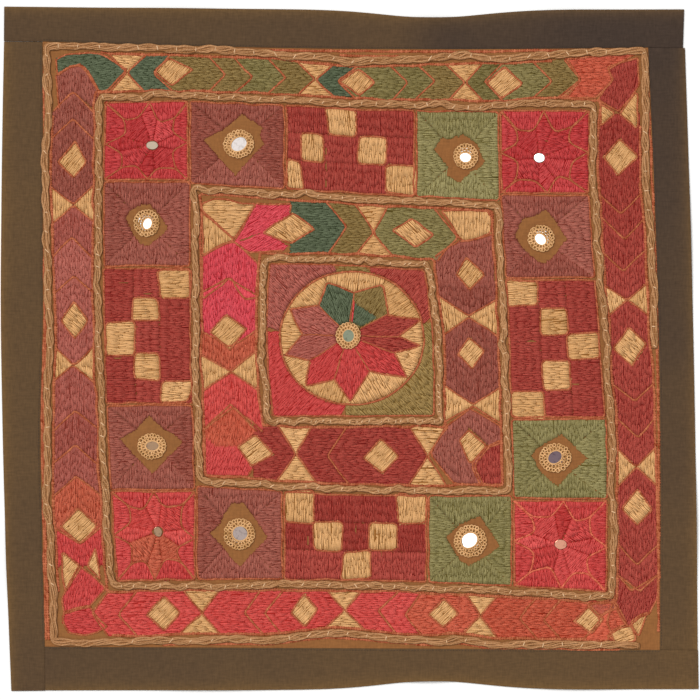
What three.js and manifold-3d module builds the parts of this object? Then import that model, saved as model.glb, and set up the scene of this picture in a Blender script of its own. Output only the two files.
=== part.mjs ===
// Embroidered tablecloth: a square panel of mirror work in a plain cotton border, lying flat.
// Millimetres, +Z up, +Y towards the top edge of the cloth, its underside on z = 0.
import * as THREE from "three";
import { mergeVertices } from "three/addons/utils/BufferGeometryUtils.js";
import Module from "manifold-3d";

// Thicknesses of the cloth and the air between pieces.
const GROUND_THICKNESS = 1.2;
const STITCHED_THICKNESS = 2.1;
const STITCHED_ROOT = 0.5;
const STITCHED_ROUNDING = 0.35;
const BORDER_THICKNESS = 1.6;
const CLEARANCE = 0.3;

// Couched cords, and the channels they lie in between two stitched fields.
const CORD_HALF_WIDTH = 4;
const CORD_HALF_HEIGHT = 1.25;
const CORD_SIDES = 6;
const CORD_STEP = 18;
const CORD_CORNER = 5;
const CORD_WANDER = 0.5;
const CHANNEL_HALF_WIDTH = 5.2;
const BLOCK_GROOVE = 2.4;

// Mirrors and the needle-lace rings that hold them.
const MIRROR_RADIUS = 10;
const SMALL_MIRROR_RADIUS = 6.8;
const SMALL_WINDOW_RADIUS = 7.6;
const MIRROR_THICKNESS = 1;
const MIRROR_SIDES = 16;
const RING_HEIGHT = 1.3;
const RING_SIDES = 16;
const CENTRE_MIRROR = { x: -1.6, y: 13.7, window: 16.5, opening: 6.3, ring: 13.2 };

// The border is drawn in where an old fold crosses its top and bottom strips.
const FOLD_X = 89;
const FOLD_REACH = 75;

// Segments of the sheets.
const OUTLINE_STEPS = 32;
const BLOCK_STEPS = 3;
const STRIP_STEP = 19;
const STRIP_ROWS = 3;

// The four sides of a frame, clockwise.
// Each side runs in the direction in which the one before it faces inwards.
const SIDES = {
  top: { from: "topLeft", to: "topRight", along: "x", before: "left", inward: [0, -1] },
  right: { from: "topRight", to: "bottomRight", along: "y", before: "top", inward: [-1, 0] },
  bottom: { from: "bottomRight", to: "bottomLeft", along: "x", before: "right", inward: [0, 1] },
  left: { from: "bottomLeft", to: "topLeft", along: "y", before: "bottom", inward: [1, 0] },
};

// Nested hand-drawn frames: corners, how far each side bows inwards at its middle, how far a side is drawn in
// at the fold, and the knots of a side that sways: places along it, and how far inwards it lies there.
const FRAMES = {
  cloth: {
    topLeft: [-371, 368],
    topRight: [359.5, 365],
    bottomRight: [375, -366.5],
    bottomLeft: [-364, -368],
    bow: { top: 1.6, right: -3, bottom: 0, left: -7.2 },
    drawnIn: { top: 8.6, right: 0, bottom: 9.4, left: 0 },
    sway: {},
  },
  panel: {
    topLeft: [-330, 330],
    topRight: [321, 323.5],
    bottomRight: [333.5, -324],
    bottomLeft: [-327.5, -320.5],
    bow: { top: 4.6, right: -5.5, bottom: 0, left: 0 },
    drawnIn: { top: 0, right: 0, bottom: 0, left: 0 },
    sway: {
      left: [[-320.5, 0], [-205, -2.3], [-105, -4], [60, -0.6], [330, 0]],
    },
  },
  cordEdge: {
    topLeft: [-326, 325.5],
    topRight: [317.5, 321],
    bottomRight: [337.5, -320.5],
    bottomLeft: [-319, -315.5],
    bow: { top: 0, right: 0, bottom: 0, left: 0 },
    drawnIn: { top: 0, right: 0, bottom: 0, left: 0 },
    sway: {
      top: [[-326, 0], [-215, 2.2], [-113, 4.6], [16, 13.3], [161, 9], [274, 3], [317.5, 0]],
      right: [[-320.5, 0], [0, -1.2], [80, -1.4], [122, -0.4], [186, 2.8], [250, 1.6], [321, 0]],
      bottom: [
        [-319, 0], [-226, 1.3], [-161, 4], [-97, 3.5], [-16, 11],
        [86, 4.2], [113, 6.5], [155, 1.5], [337.5, 0],
      ],
      left: [
        [-315.5, 0], [-263, 0.8], [-222, -1.2], [-160, -4.6], [-60, -2.6],
        [20, 0.6], [107, -1.8], [190, -3], [272, 1], [325.5, 0],
      ],
    },
  },
  cordOuter: {
    topLeft: [-268, 270],
    topRight: [263, 261.5],
    bottomRight: [282, -267],
    bottomLeft: [-255.5, -255.5],
    bow: { top: 0, right: 0, bottom: 6.5, left: -7 },
    drawnIn: { top: 0, right: 0, bottom: 0, left: 0 },
    sway: {
      top: [[-268, 0], [-190, -3], [-97, -1], [20, 3], [140, 3.2], [215, -0.6], [263, 0]],
      right: [[-267, 0], [-195, -3.6], [-95, -6], [6, -2.2], [127, 2.3], [208, 4.6], [261.5, 0]],
    },
  },
  cordMiddle: {
    topLeft: [-166, 172.5],
    topRight: [158.5, 153.5],
    bottomRight: [171, -153],
    bottomLeft: [-161, -142.5],
    bow: { top: 0.8, right: -2, bottom: -4, left: -2 },
    drawnIn: { top: 0, right: 0, bottom: 0, left: 0 },
    sway: {},
  },
  cordInner: {
    topLeft: [-91, 97],
    topRight: [85.5, 89.5],
    bottomRight: [96.5, -78],
    bottomLeft: [-88, -78],
    bow: { top: -2, right: -4.5, bottom: 0, left: -5 },
    drawnIn: { top: 0, right: 0, bottom: 0, left: 0 },
    sway: {},
  },
};

// Where the blocks of the block ring meet, just outside the corners of the middle cord.
const BLOCK_CORNERS = {
  topLeft: [-172.7, 180.2],
  topRight: [161.9, 166.2],
  bottomRight: [175.9, -162.5],
  bottomLeft: [-165.2, -152.8],
};

// Mirror blocks, clockwise: the share of their side that they take, the place of the mirror, the opening
// and the outer radius of its ring, and the bare window round it, which is an uneven diamond.
const MIRROR_BLOCKS = [
  {
    name: "top_left",
    side: "top",
    start: 0,
    end: 0.31,
    x: -119.4,
    y: 220.1,
    opening: 7.9,
    ring: 15.5,
    window: [
      [-157, 225], [-137.5, 234.5], [-116, 252.5], [-93.5, 238],
      [-92, 219.5], [-122.5, 186], [-144, 208.5],
    ],
  },
  {
    name: "top_right",
    side: "top",
    start: 0.728,
    end: 1,
    x: 125.2,
    y: 207.1,
    opening: 5.4,
    ring: 13.2,
    window: [
      [90.5, 214], [98.5, 227], [122, 231], [137.5, 220],
      [145.5, 201], [130.5, 190], [118.5, 178], [104.5, 186],
    ],
  },
  {
    name: "right_upper",
    side: "right",
    start: 0,
    end: 0.278,
    x: 206.3,
    y: 118.8,
    opening: 5.7,
    ring: 14.2,
    window: [
      [177.5, 121.5], [186, 139.5], [211.5, 150], [222, 137.5],
      [234, 118], [218.5, 97.5], [206, 92], [186, 108],
    ],
  },
  {
    name: "right_lower",
    side: "right",
    start: 0.734,
    end: 1,
    x: 221.4,
    y: -117.5,
    opening: 6.8,
    ring: 16.5,
    window: [
      [195, -114.5], [205, -105], [228.5, -91.5], [256.5, -118.5],
      [237.5, -134], [221, -148], [205.5, -133],
    ],
  },
  {
    name: "bottom_right",
    side: "bottom",
    start: 0,
    end: 0.27,
    x: 130.2,
    y: -207,
    opening: 8.1,
    ring: 17.5,
    window: [
      [103.5, -202.5], [119, -188.5], [140, -180], [162, -213],
      [143.5, -226.5], [129, -234], [111.5, -216.5],
    ],
  },
  {
    name: "bottom_left",
    side: "bottom",
    start: 0.724,
    end: 1,
    x: -118.9,
    y: -199.8,
    opening: 7.7,
    ring: 16.7,
    window: [
      [-150.5, -199], [-135, -178], [-126.5, -166], [-113.5, -166],
      [-88, -203.5], [-117.5, -234.5], [-137, -213],
    ],
  },
  {
    name: "left_lower",
    side: "left",
    start: 0,
    end: 0.278,
    x: -212.9,
    y: -105.3,
    opening: 5.7,
    ring: 14.5,
    window: [
      [-247.5, -97], [-231, -88], [-215.5, -72], [-199.5, -87],
      [-179.5, -101.5], [-212, -135], [-230.5, -116.5],
    ],
  },
  {
    name: "left_upper",
    side: "left",
    start: 0.722,
    end: 1,
    x: -218.6,
    y: 135.1,
    opening: 5,
    ring: 14.3,
    window: [
      [-241, 139.5], [-225, 154.5], [-214, 155], [-203.5, 143],
      [-196, 128], [-216.5, 110], [-225.5, 112.5],
    ],
  },
];

// Stepped-check blocks between two mirror blocks.
const CHECK_BLOCKS = [
  { side: "top", start: 0.31, end: 0.728 },
  { side: "right", start: 0.278, end: 0.734 },
  { side: "bottom", start: 0.27, end: 0.724 },
  { side: "left", start: 0.278, end: 0.722 },
];

// Flower blocks at the corners where each side starts, with the place of their small mirror.
const FLOWER_BLOCKS = [
  { name: "corner_top_left", side: "top", x: -212.3, y: 218.5 },
  { name: "corner_top_right", side: "right", x: 204.1, y: 205.1 },
  { name: "corner_bottom_right", side: "bottom", x: 227.1, y: -210.7 },
  { name: "corner_bottom_left", side: "left", x: -206.1, y: -197.1 },
];

// Border strips: where the outer and the inner edge of each start and end along its side.
const BORDER_STRIPS = [
  { name: "border_top", side: "top", outerStart: -371, outerEnd: 359.5, innerStart: -371.3, innerEnd: 358.2 },
  { name: "border_right", side: "right", outerStart: 322.8, outerEnd: -323.9, innerStart: 323.1, innerEnd: -323.7 },
  { name: "border_bottom", side: "bottom", outerStart: 375, outerEnd: -327, innerStart: 374.4, innerEnd: -327.2 },
  { name: "border_left", side: "left", outerStart: -368, outerEnd: 329.7, innerStart: -367.6, innerEnd: 329.4 },
];

// Ripples of the free outer edge of the border: their place and half-length along the side, and their rise.
const RIPPLES = [
  { strip: "border_top", at: -190, reach: 85, rise: 2.2 },
  { strip: "border_top", at: FOLD_X, reach: 34, rise: 3.4 },
  { strip: "border_top", at: 240, reach: 60, rise: 1.6 },
  { strip: "border_right", at: 120, reach: 95, rise: 2 },
  { strip: "border_right", at: -190, reach: 80, rise: 2.6 },
  { strip: "border_bottom", at: 245, reach: 70, rise: 1.8 },
  { strip: "border_bottom", at: FOLD_X - 4, reach: 36, rise: 3.6 },
  { strip: "border_bottom", at: -150, reach: 90, rise: 2 },
  { strip: "border_left", at: -230, reach: 60, rise: 2.8 },
  { strip: "border_left", at: 40, reach: 110, rise: 2.2 },
];

const COLOURS = {
  ground: 0x7d5a30,
  border: 0x58412f,
  cord: 0x9c7350,
  mirror: 0xd5d8d6,
  ring: 0xd2aa78,
};

const wasm = await Module();
wasm.setup();

const lerp = THREE.MathUtils.lerp;
const bell = (distance) => (Math.abs(distance) < 1 ? Math.cos((Math.PI * distance) / 2) ** 2 : 0);

// How far inwards a side sways at a place, easing from knot to knot.
function swayAt(knots, place) {
  const next = knots.findIndex(([at]) => at > place);
  if (next <= 0) {
    return knots.at(next)[1];
  }
  const [from, push] = knots[next - 1];
  const [to, nextPush] = knots[next];
  return lerp(push, nextPush, THREE.MathUtils.smoothstep(place, from, to));
}

// A point of one side of a frame, at a share of its length, moved inwards by the inset.
function sidePoint(frame, sideName, share, inset) {
  const side = SIDES[sideName];
  const inward = new THREE.Vector2(...side.inward);
  const start = new THREE.Vector2(...frame[side.from]);
  const point = start.lerp(new THREE.Vector2(...frame[side.to]), share);
  const bow = frame.bow[sideName] * Math.sin(Math.PI * THREE.MathUtils.clamp(share, 0, 1));
  const drawn = frame.drawnIn[sideName] * Math.exp(-(((point.x - FOLD_X) / FOLD_REACH) ** 2));
  const knots = frame.sway[sideName];
  const sway = knots ? swayAt(knots, point[side.along]) : 0;
  return point.addScaledVector(inward, inset + bow + drawn + sway);
}

// The point of a side that lies at a given place along it.
function sideAt(frame, sideName, place, inset) {
  const side = SIDES[sideName];
  const axis = side.along === "x" ? 0 : 1;
  const start = frame[side.from][axis];
  const end = frame[side.to][axis];
  return sidePoint(frame, sideName, (place - start) / (end - start), inset);
}

function sideLength(frame, sideName) {
  const side = SIDES[sideName];
  const start = new THREE.Vector2(...frame[side.from]);
  return start.distanceTo(new THREE.Vector2(...frame[side.to]));
}

// The closed outline of a frame, moved inwards by the inset.
function outline(frame, inset) {
  const points = [];
  for (const name of Object.keys(SIDES)) {
    const corner = inset / sideLength(frame, name);
    for (let i = 0; i < OUTLINE_STEPS; i += 1) {
      const share = lerp(corner, 1 - corner, i / OUTLINE_STEPS);
      points.push(sidePoint(frame, name, share, inset));
    }
  }
  return points;
}

function circle(x, y, radius) {
  const points = [];
  for (let i = 0; i < MIRROR_SIDES; i += 1) {
    const angle = (2 * Math.PI * i) / MIRROR_SIDES;
    points.push(new THREE.Vector2(x + radius * Math.cos(angle), y + radius * Math.sin(angle)));
  }
  return points;
}

// A bare window, wound against the field that it is cut from.
function windowOutline(corners) {
  return corners.map((corner) => new THREE.Vector2(...corner)).reverse();
}

function steps(from, to, count) {
  return Array.from({ length: count + 1 }, (_, i) => lerp(from, to, i / count));
}

// The outline of a block that takes part of one side of the block ring.
function blockOutline({ side: sideName, start, end }) {
  const side = SIDES[sideName];
  const axis = side.along === "x" ? 0 : 1;
  const first = BLOCK_CORNERS[side.from][axis];
  const last = BLOCK_CORNERS[side.to][axis];
  const groove = (Math.sign(last - first) * BLOCK_GROOVE) / 2;
  const places = steps(lerp(first, last, start) + groove, lerp(first, last, end) - groove, BLOCK_STEPS);
  const outer = places.map((place) => sideAt(FRAMES.cordOuter, sideName, place, CHANNEL_HALF_WIDTH));
  const inner = places.map((place) => sideAt(FRAMES.cordMiddle, sideName, place, -CHANNEL_HALF_WIDTH));
  return [...outer, ...inner.reverse()];
}

// The outline of the corner block where a side starts.
function cornerOutline(sideName) {
  const side = SIDES[sideName];
  const before = SIDES[side.before];
  const inward = new THREE.Vector2(...side.inward);
  const onward = new THREE.Vector2(...before.inward);
  const corner = new THREE.Vector2(...FRAMES.cordOuter[side.from]);
  corner.addScaledVector(inward, CHANNEL_HALF_WIDTH).addScaledVector(onward, CHANNEL_HALF_WIDTH);
  const tip = new THREE.Vector2(...BLOCK_CORNERS[side.from]);
  tip.addScaledVector(inward, -BLOCK_GROOVE / 2).addScaledVector(onward, -BLOCK_GROOVE / 2);
  const out = steps(corner[side.along], tip[side.along], BLOCK_STEPS);
  const back = steps(tip[before.along], corner[before.along], BLOCK_STEPS).slice(0, -1);
  return [
    ...out.map((place) => sideAt(FRAMES.cordOuter, sideName, place, CHANNEL_HALF_WIDTH)),
    tip,
    ...back.map((place) => sideAt(FRAMES.cordOuter, side.before, place, CHANNEL_HALF_WIDTH)),
  ];
}

// A flat sheet of cloth cut to an outline.
function flatSheet(points, thickness) {
  return new THREE.ExtrudeGeometry(new THREE.Shape(points), { depth: thickness, bevelEnabled: false });
}

// A stitched field that stands up out of the ground cloth, with rounded edges and bare windows.
function stitchedField(points, windows) {
  const shape = new THREE.Shape(points);
  shape.holes = windows.map((window) => new THREE.Path(window));
  const field = new THREE.ExtrudeGeometry(shape, {
    depth: STITCHED_THICKNESS - STITCHED_ROOT - 2 * STITCHED_ROUNDING,
    bevelThickness: STITCHED_ROUNDING,
    bevelSize: STITCHED_ROUNDING,
    bevelOffset: -STITCHED_ROUNDING,
    bevelSegments: 1,
  });
  return field.translate(0, 0, STITCHED_ROOT + STITCHED_ROUNDING);
}

function closedGeometry(geometry) {
  geometry.deleteAttribute("normal");
  geometry.deleteAttribute("uv");
  return mergeVertices(geometry, 1e-4);
}

function solidOf(geometry) {
  const closed = closedGeometry(geometry);
  const mesh = new wasm.Mesh({
    numProp: 3,
    vertProperties: new Float32Array(closed.attributes.position.array),
    triVerts: new Uint32Array(closed.index.array),
  });
  return new wasm.Manifold(mesh);
}

function geometryOf(solid) {
  const mesh = solid.getMesh();
  const geometry = new THREE.BufferGeometry();
  geometry.setAttribute("position", new THREE.BufferAttribute(mesh.vertProperties, 3));
  geometry.setIndex(new THREE.BufferAttribute(mesh.triVerts, 1));
  return geometry;
}

// The panel: ground cloth with its raised stitched bands, blocks and centre.
function panelGeometry() {
  const fields = [
    stitchedField(outline(FRAMES.cordEdge, CHANNEL_HALF_WIDTH), [
      outline(FRAMES.cordOuter, -CHANNEL_HALF_WIDTH).reverse(),
    ]),
    stitchedField(outline(FRAMES.cordMiddle, CHANNEL_HALF_WIDTH), [
      outline(FRAMES.cordInner, -CHANNEL_HALF_WIDTH).reverse(),
    ]),
    stitchedField(outline(FRAMES.cordInner, CHANNEL_HALF_WIDTH), [
      circle(CENTRE_MIRROR.x, CENTRE_MIRROR.y, CENTRE_MIRROR.window),
    ]),
  ];
  for (const block of MIRROR_BLOCKS) {
    fields.push(stitchedField(blockOutline(block), [windowOutline(block.window)]));
  }
  for (const { side, x, y } of FLOWER_BLOCKS) {
    fields.push(stitchedField(cornerOutline(side), [circle(x, y, SMALL_WINDOW_RADIUS)]));
  }
  for (const block of CHECK_BLOCKS) {
    fields.push(stitchedField(blockOutline(block), []));
  }
  const ground = solidOf(flatSheet(outline(FRAMES.panel, 0), GROUND_THICKNESS));
  return geometryOf(fields.reduce((cloth, field) => cloth.add(solidOf(field)), ground));
}

// One strip of the border, bent up a little where its outer edge ripples.
function borderGeometry({ name, side, outerStart, outerEnd, innerStart, innerEnd }) {
  const columns = Math.round(Math.abs(outerEnd - outerStart) / STRIP_STEP);
  const strip = new THREE.BoxGeometry(1, 1, 1, columns, STRIP_ROWS, 1);
  const ripples = RIPPLES.filter((ripple) => ripple.strip === name);
  const positions = strip.attributes.position;
  for (let i = 0; i < positions.count; i += 1) {
    const share = positions.getX(i) + 0.5;
    const outward = positions.getY(i) + 0.5;
    const place = lerp(outerStart, outerEnd, share);
    const outer = sideAt(FRAMES.cloth, side, place, 0);
    const inner = sideAt(FRAMES.panel, side, lerp(innerStart, innerEnd, share), -CLEARANCE);
    const point = inner.lerp(outer, outward);
    const lift = ripples.reduce((sum, { at, reach, rise }) => sum + rise * bell((place - at) / reach), 0);
    const height = lift * outward ** 1.5 + (positions.getZ(i) + 0.5) * BORDER_THICKNESS;
    positions.setXYZ(i, point.x, point.y, height);
  }
  return closedGeometry(strip);
}

// The line along which a cord is laid, round the corners of its frame and a little unsteady.
class CordRoute extends THREE.Curve {
  constructor(points, closed) {
    super();
    this.points = points;
    this.closed = closed;
    this.spans = closed ? points.length : points.length - 1;
  }

  pointNumber(index) {
    const count = this.points.length;
    const number = this.closed ? (index + count) % count : THREE.MathUtils.clamp(index, 0, count - 1);
    return this.points[number];
  }

  getPointAt(share, target = new THREE.Vector3()) {
    return target.copy(this.pointNumber(Math.round(share * this.spans)));
  }

  getTangentAt(share, target = new THREE.Vector3()) {
    const index = Math.round(share * this.spans);
    return target.subVectors(this.pointNumber(index + 1), this.pointNumber(index - 1)).normalize();
  }
}

// Points of a cord along part of one side, from one place to another.
function cordRun(frame, sideName, startShare, endShare) {
  const length = sideLength(frame, sideName) * Math.abs(endShare - startShare);
  const count = Math.max(2, Math.round(length / CORD_STEP));
  return steps(startShare, endShare, count).map((share, i) => {
    const wander = i > 0 && i < count ? CORD_WANDER * Math.sin(2.1 * i) : 0;
    const point = sidePoint(frame, sideName, share, wander);
    return new THREE.Vector3(point.x, point.y, 0);
  });
}

// The middle of the round bend where a side starts.
function cordBend(frame, sideName) {
  const side = SIDES[sideName];
  const inset = CORD_CORNER * (1 - Math.SQRT1_2);
  const corner = new THREE.Vector2(...frame[side.from]);
  corner.addScaledVector(new THREE.Vector2(...side.inward), inset);
  corner.addScaledVector(new THREE.Vector2(...SIDES[side.before].inward), inset);
  return new THREE.Vector3(corner.x, corner.y, 0);
}

function layCord(geometry) {
  geometry.scale(1, 1, CORD_HALF_HEIGHT / CORD_HALF_WIDTH);
  geometry.translate(0, 0, GROUND_THICKNESS + CLEARANCE + CORD_HALF_HEIGHT);
  return closedGeometry(geometry);
}

// A cord that runs all the way round its frame.
function ringCord(frame) {
  const points = [];
  for (const name of Object.keys(SIDES)) {
    const corner = CORD_CORNER / sideLength(frame, name);
    points.push(cordBend(frame, name), ...cordRun(frame, name, corner, 1 - corner));
  }
  const route = new CordRoute(points, true);
  return layCord(new THREE.TubeGeometry(route, points.length, CORD_HALF_WIDTH, CORD_SIDES, true));
}

// The cord along the edge of the panel, which starts part of the way down the right side,
// runs up it and round by the left, and stops at the lower right corner.
const EDGE_CORD_START = 0.5;
const EDGE_CORD_END = 0.021;

function edgeCord() {
  const frame = FRAMES.cordEdge;
  const share = (name) => CORD_CORNER / sideLength(frame, name);
  const points = [
    ...cordRun(frame, "right", EDGE_CORD_START, share("right")),
    cordBend(frame, "right"),
    ...cordRun(frame, "top", 1 - share("top"), share("top")),
    cordBend(frame, "top"),
    ...cordRun(frame, "left", 1 - share("left"), share("left")),
    cordBend(frame, "left"),
    ...cordRun(frame, "bottom", 1 - share("bottom"), EDGE_CORD_END),
  ];
  const section = new THREE.Shape(
    Array.from({ length: CORD_SIDES }, (_, i) => {
      const angle = (2 * Math.PI * i) / CORD_SIDES;
      return new THREE.Vector2(CORD_HALF_WIDTH * Math.cos(angle), CORD_HALF_WIDTH * Math.sin(angle));
    }),
  );
  const route = new CordRoute(points, false);
  const settings = { steps: points.length - 1, extrudePath: route, bevelEnabled: false };
  return layCord(new THREE.ExtrudeGeometry(section, settings));
}

function mirrorGeometry(x, y, radius) {
  const disc = new THREE.CylinderGeometry(radius, radius, MIRROR_THICKNESS, MIRROR_SIDES);
  disc.rotateX(Math.PI / 2);
  return closedGeometry(disc.translate(x, y, GROUND_THICKNESS + CLEARANCE + MIRROR_THICKNESS / 2));
}

// A ring that lies over the rim of its mirror and stands on the ground cloth round it.
function ringGeometry({ x, y, opening, ring }) {
  const foot = GROUND_THICKNESS + CLEARANCE;
  const ledge = foot + MIRROR_THICKNESS + CLEARANCE;
  const profile = [
    [opening, ledge],
    [MIRROR_RADIUS + CLEARANCE, ledge],
    [MIRROR_RADIUS + CLEARANCE, foot],
    [ring, foot],
    [ring - 0.6, foot + 1],
    [ring - 3.4, ledge + RING_HEIGHT],
    [opening + 0.8, ledge + RING_HEIGHT * 0.7],
    [opening, ledge],
  ];
  const lace = new THREE.LatheGeometry(profile.map((point) => new THREE.Vector2(...point)), RING_SIDES);
  lace.rotateX(Math.PI / 2);
  return closedGeometry(lace.translate(x, y, 0));
}

const finishes = {
  ground: new THREE.MeshStandardMaterial({ color: COLOURS.ground, roughness: 0.9 }),
  border: new THREE.MeshStandardMaterial({ color: COLOURS.border, roughness: 0.95 }),
  cord: new THREE.MeshStandardMaterial({ color: COLOURS.cord, roughness: 0.8 }),
  mirror: new THREE.MeshStandardMaterial({ color: COLOURS.mirror, roughness: 0.1, metalness: 1 }),
  ring: new THREE.MeshStandardMaterial({ color: COLOURS.ring, roughness: 0.75 }),
};

const tablecloth = new THREE.Group();
tablecloth.name = "embroidered_tablecloth";

function addPiece(name, geometry, finish) {
  const faces = geometry.toNonIndexed();
  faces.computeVertexNormals();
  const piece = new THREE.Mesh(faces, finishes[finish]);
  piece.name = name;
  tablecloth.add(piece);
}

addPiece("panel", panelGeometry(), "ground");
for (const strip of BORDER_STRIPS) {
  addPiece(strip.name, borderGeometry(strip), "border");
}
addPiece("cord_edge", edgeCord(), "cord");
addPiece("cord_outer", ringCord(FRAMES.cordOuter), "cord");
addPiece("cord_middle", ringCord(FRAMES.cordMiddle), "cord");
addPiece("cord_inner", ringCord(FRAMES.cordInner), "cord");
for (const { name, x, y } of FLOWER_BLOCKS) {
  addPiece(`mirror_${name}`, mirrorGeometry(x, y, SMALL_MIRROR_RADIUS), "mirror");
}
for (const block of MIRROR_BLOCKS) {
  addPiece(`mirror_${block.name}`, mirrorGeometry(block.x, block.y, MIRROR_RADIUS), "mirror");
  addPiece(`ring_${block.name}`, ringGeometry(block), "ring");
}
addPiece("mirror_centre", mirrorGeometry(CENTRE_MIRROR.x, CENTRE_MIRROR.y, MIRROR_RADIUS), "mirror");
addPiece("ring_centre", ringGeometry(CENTRE_MIRROR), "ring");

export default tablecloth;
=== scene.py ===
"""Dresses the embroidered tablecloth: ground cloth, border, couched cords, mirrors, lace and stitches.

Lengths and places are in millimetres, seen from above with y towards the top edge. Meshes are made in metres.
"""
import logging
import math
from dataclasses import dataclass, field
from enum import Enum
from typing import Callable, Sequence

import bmesh
import bpy
import numpy as np
from bpy.types import Material, Mesh, Node, NodeSocket, NodeTree, Object
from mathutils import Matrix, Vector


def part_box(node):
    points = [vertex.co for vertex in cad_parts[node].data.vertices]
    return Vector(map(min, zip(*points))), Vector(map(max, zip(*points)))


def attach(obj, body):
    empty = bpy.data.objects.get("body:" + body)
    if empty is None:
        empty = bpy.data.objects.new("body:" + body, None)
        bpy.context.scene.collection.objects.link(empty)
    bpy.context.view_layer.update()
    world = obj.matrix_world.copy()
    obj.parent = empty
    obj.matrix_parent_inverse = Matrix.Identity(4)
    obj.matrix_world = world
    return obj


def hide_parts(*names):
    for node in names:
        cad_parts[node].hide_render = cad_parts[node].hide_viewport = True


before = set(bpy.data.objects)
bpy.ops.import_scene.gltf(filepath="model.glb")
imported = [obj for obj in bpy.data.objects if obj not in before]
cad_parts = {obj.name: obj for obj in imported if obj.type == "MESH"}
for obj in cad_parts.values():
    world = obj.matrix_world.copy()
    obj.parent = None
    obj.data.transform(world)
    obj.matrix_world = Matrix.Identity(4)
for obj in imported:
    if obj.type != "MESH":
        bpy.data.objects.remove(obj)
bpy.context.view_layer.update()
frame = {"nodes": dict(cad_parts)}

LOG = logging.getLogger("tablecloth")
MM = 0.001

Points = np.ndarray
Shape = tuple[tuple[float, float], ...]
Colour = tuple[int, int, int]
Light = tuple[float, float, float, float]

# Thicknesses, heights and gaps that the solids have.
GROUND_TOP = 1.2
BORDER_TOP = 1.6
CORD_MIDDLE = 2.75
CHANNEL = 5.2
BLOCK_GROOVE = 2.4
CENTRE_WINDOW = 16.5
SMALL_WINDOW = 7.6

# The old fold that crosses the top and bottom strips of the border.
FOLD_X = 89.0
FOLD_REACH = 75.0

# How little cloth and thread shine, and how deep their weave and twist are in metres.
DULL = 0.2
RELIEF = 0.0002


def linear(colour: Sequence[float], gain: float = 1.0) -> Light:
    """Turns a screen colour into a light value.

    Args:
        colour: Red, green and blue from 0 to 255.
        gain: What the light value is multiplied by.

    Returns:
        Red, green, blue and alpha.
    """
    share = np.clip(colour, 4, 255) / 255.0
    red, green, blue = gain * np.where(share <= 0.04045, share / 12.92, ((share + 0.055) / 1.055) ** 2.4)
    return float(red), float(green), float(blue), 1.0


def bell(distance: Points) -> Points:
    """A soft hump of height 1 that falls to 0 at a distance of 1."""
    return np.where(np.abs(distance) < 1, np.cos(np.pi * np.clip(distance, -1, 1) / 2) ** 2, 0.0)


def unit(vectors: Points) -> Points:
    """Vectors brought to a length of 1."""
    return vectors / np.linalg.norm(vectors, axis=-1, keepdims=True)


def left_of(vectors: Points) -> Points:
    """Flat vectors turned a quarter to the left."""
    return np.stack((-vectors[..., 1], vectors[..., 0]), axis=-1)


def heading(vector: Points) -> float:
    """The direction of a flat vector in degrees."""
    return math.degrees(math.atan2(vector[1], vector[0]))


def travelled(path: Points) -> Points:
    """How far each point of a path lies from its start, along it."""
    return np.concatenate(([0.0], np.cumsum(np.linalg.norm(np.diff(path, axis=0), axis=1))))


def directions(path: Points, closed: bool) -> Points:
    """The directions of a path at its points.

    Args:
        path: The points, flat or in space.
        closed: Whether the path returns to its start.

    Returns:
        A vector of length 1 for each point.
    """
    ahead = np.roll(path, -1, axis=0) - np.roll(path, 1, axis=0)
    if not closed:
        ahead[0], ahead[-1] = path[1] - path[0], path[-1] - path[-2]
    return unit(ahead)


def ellipse(centre: Sequence[float], radius_x: float, radius_y: float, count: int = 40) -> Points:
    """A closed oval as points."""
    angle = np.linspace(0, 2 * math.pi, count, endpoint=False)
    return np.array(centre) + np.stack((radius_x * np.cos(angle), radius_y * np.sin(angle)), axis=1)


def grown(loop: Points, reach: float) -> Points:
    """A closed loop moved outward, with its sharpest corners held back.

    Args:
        loop: The loop.
        reach: How far it moves.

    Returns:
        The moved loop.
    """
    ahead = unit(np.roll(loop, -1, axis=0) - loop)
    turned = np.sign(np.sum(loop[:, 0] * np.roll(loop[:, 1], -1) - np.roll(loop[:, 0], -1) * loop[:, 1]))
    out = -turned * left_of(ahead)
    before = np.roll(out, 1, axis=0)
    stretch = np.maximum(1 + np.sum(out * before, axis=1), 0.6)
    return loop + reach * (out + before) / stretch[:, None]


def middle_of(node: str) -> Points:
    """The middle of a solid seen from above."""
    low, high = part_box(node)
    return np.array((low.x + high.x, low.y + high.y)) / (2 * MM)


def finished(shape: bmesh.types.BMesh, name: str) -> Mesh:
    """Turns a shape into a mesh.

    Args:
        shape: The shape, which is freed.
        name: The mesh's name.

    Returns:
        The mesh.
    """
    mesh = bpy.data.meshes.new(name)
    shape.to_mesh(mesh)
    shape.free()
    return mesh


def sheet_shape(
    columns: int, rows: int, top: Callable[[Points, Points], Points], thickness: float
) -> bmesh.types.BMesh:
    """Makes a closed sheet over a grid.

    Args:
        columns: The number of cells across.
        rows: The number of cells up.
        top: Gives x, y, z rows of the sheet's top by shares across and up.
        thickness: The sheet's thickness.

    Returns:
        The sheet in metres.
    """
    shape = bmesh.new()
    bmesh.ops.create_grid(shape, x_segments=columns, y_segments=rows, size=0.5)
    spots = np.array([vert.co[:2] for vert in shape.verts]) + 0.5
    for vert, place in zip(shape.verts, top(spots[:, 0], spots[:, 1])):
        vert.co = place * MM
    bmesh.ops.recalc_face_normals(shape, faces=shape.faces[:])
    if sum(face.normal.z for face in shape.faces) < 0:
        bmesh.ops.reverse_faces(shape, faces=shape.faces[:])
    bmesh.ops.solidify(shape, geom=shape.faces[:], thickness=thickness * MM)
    bmesh.ops.recalc_face_normals(shape, faces=shape.faces[:])
    return shape


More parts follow.
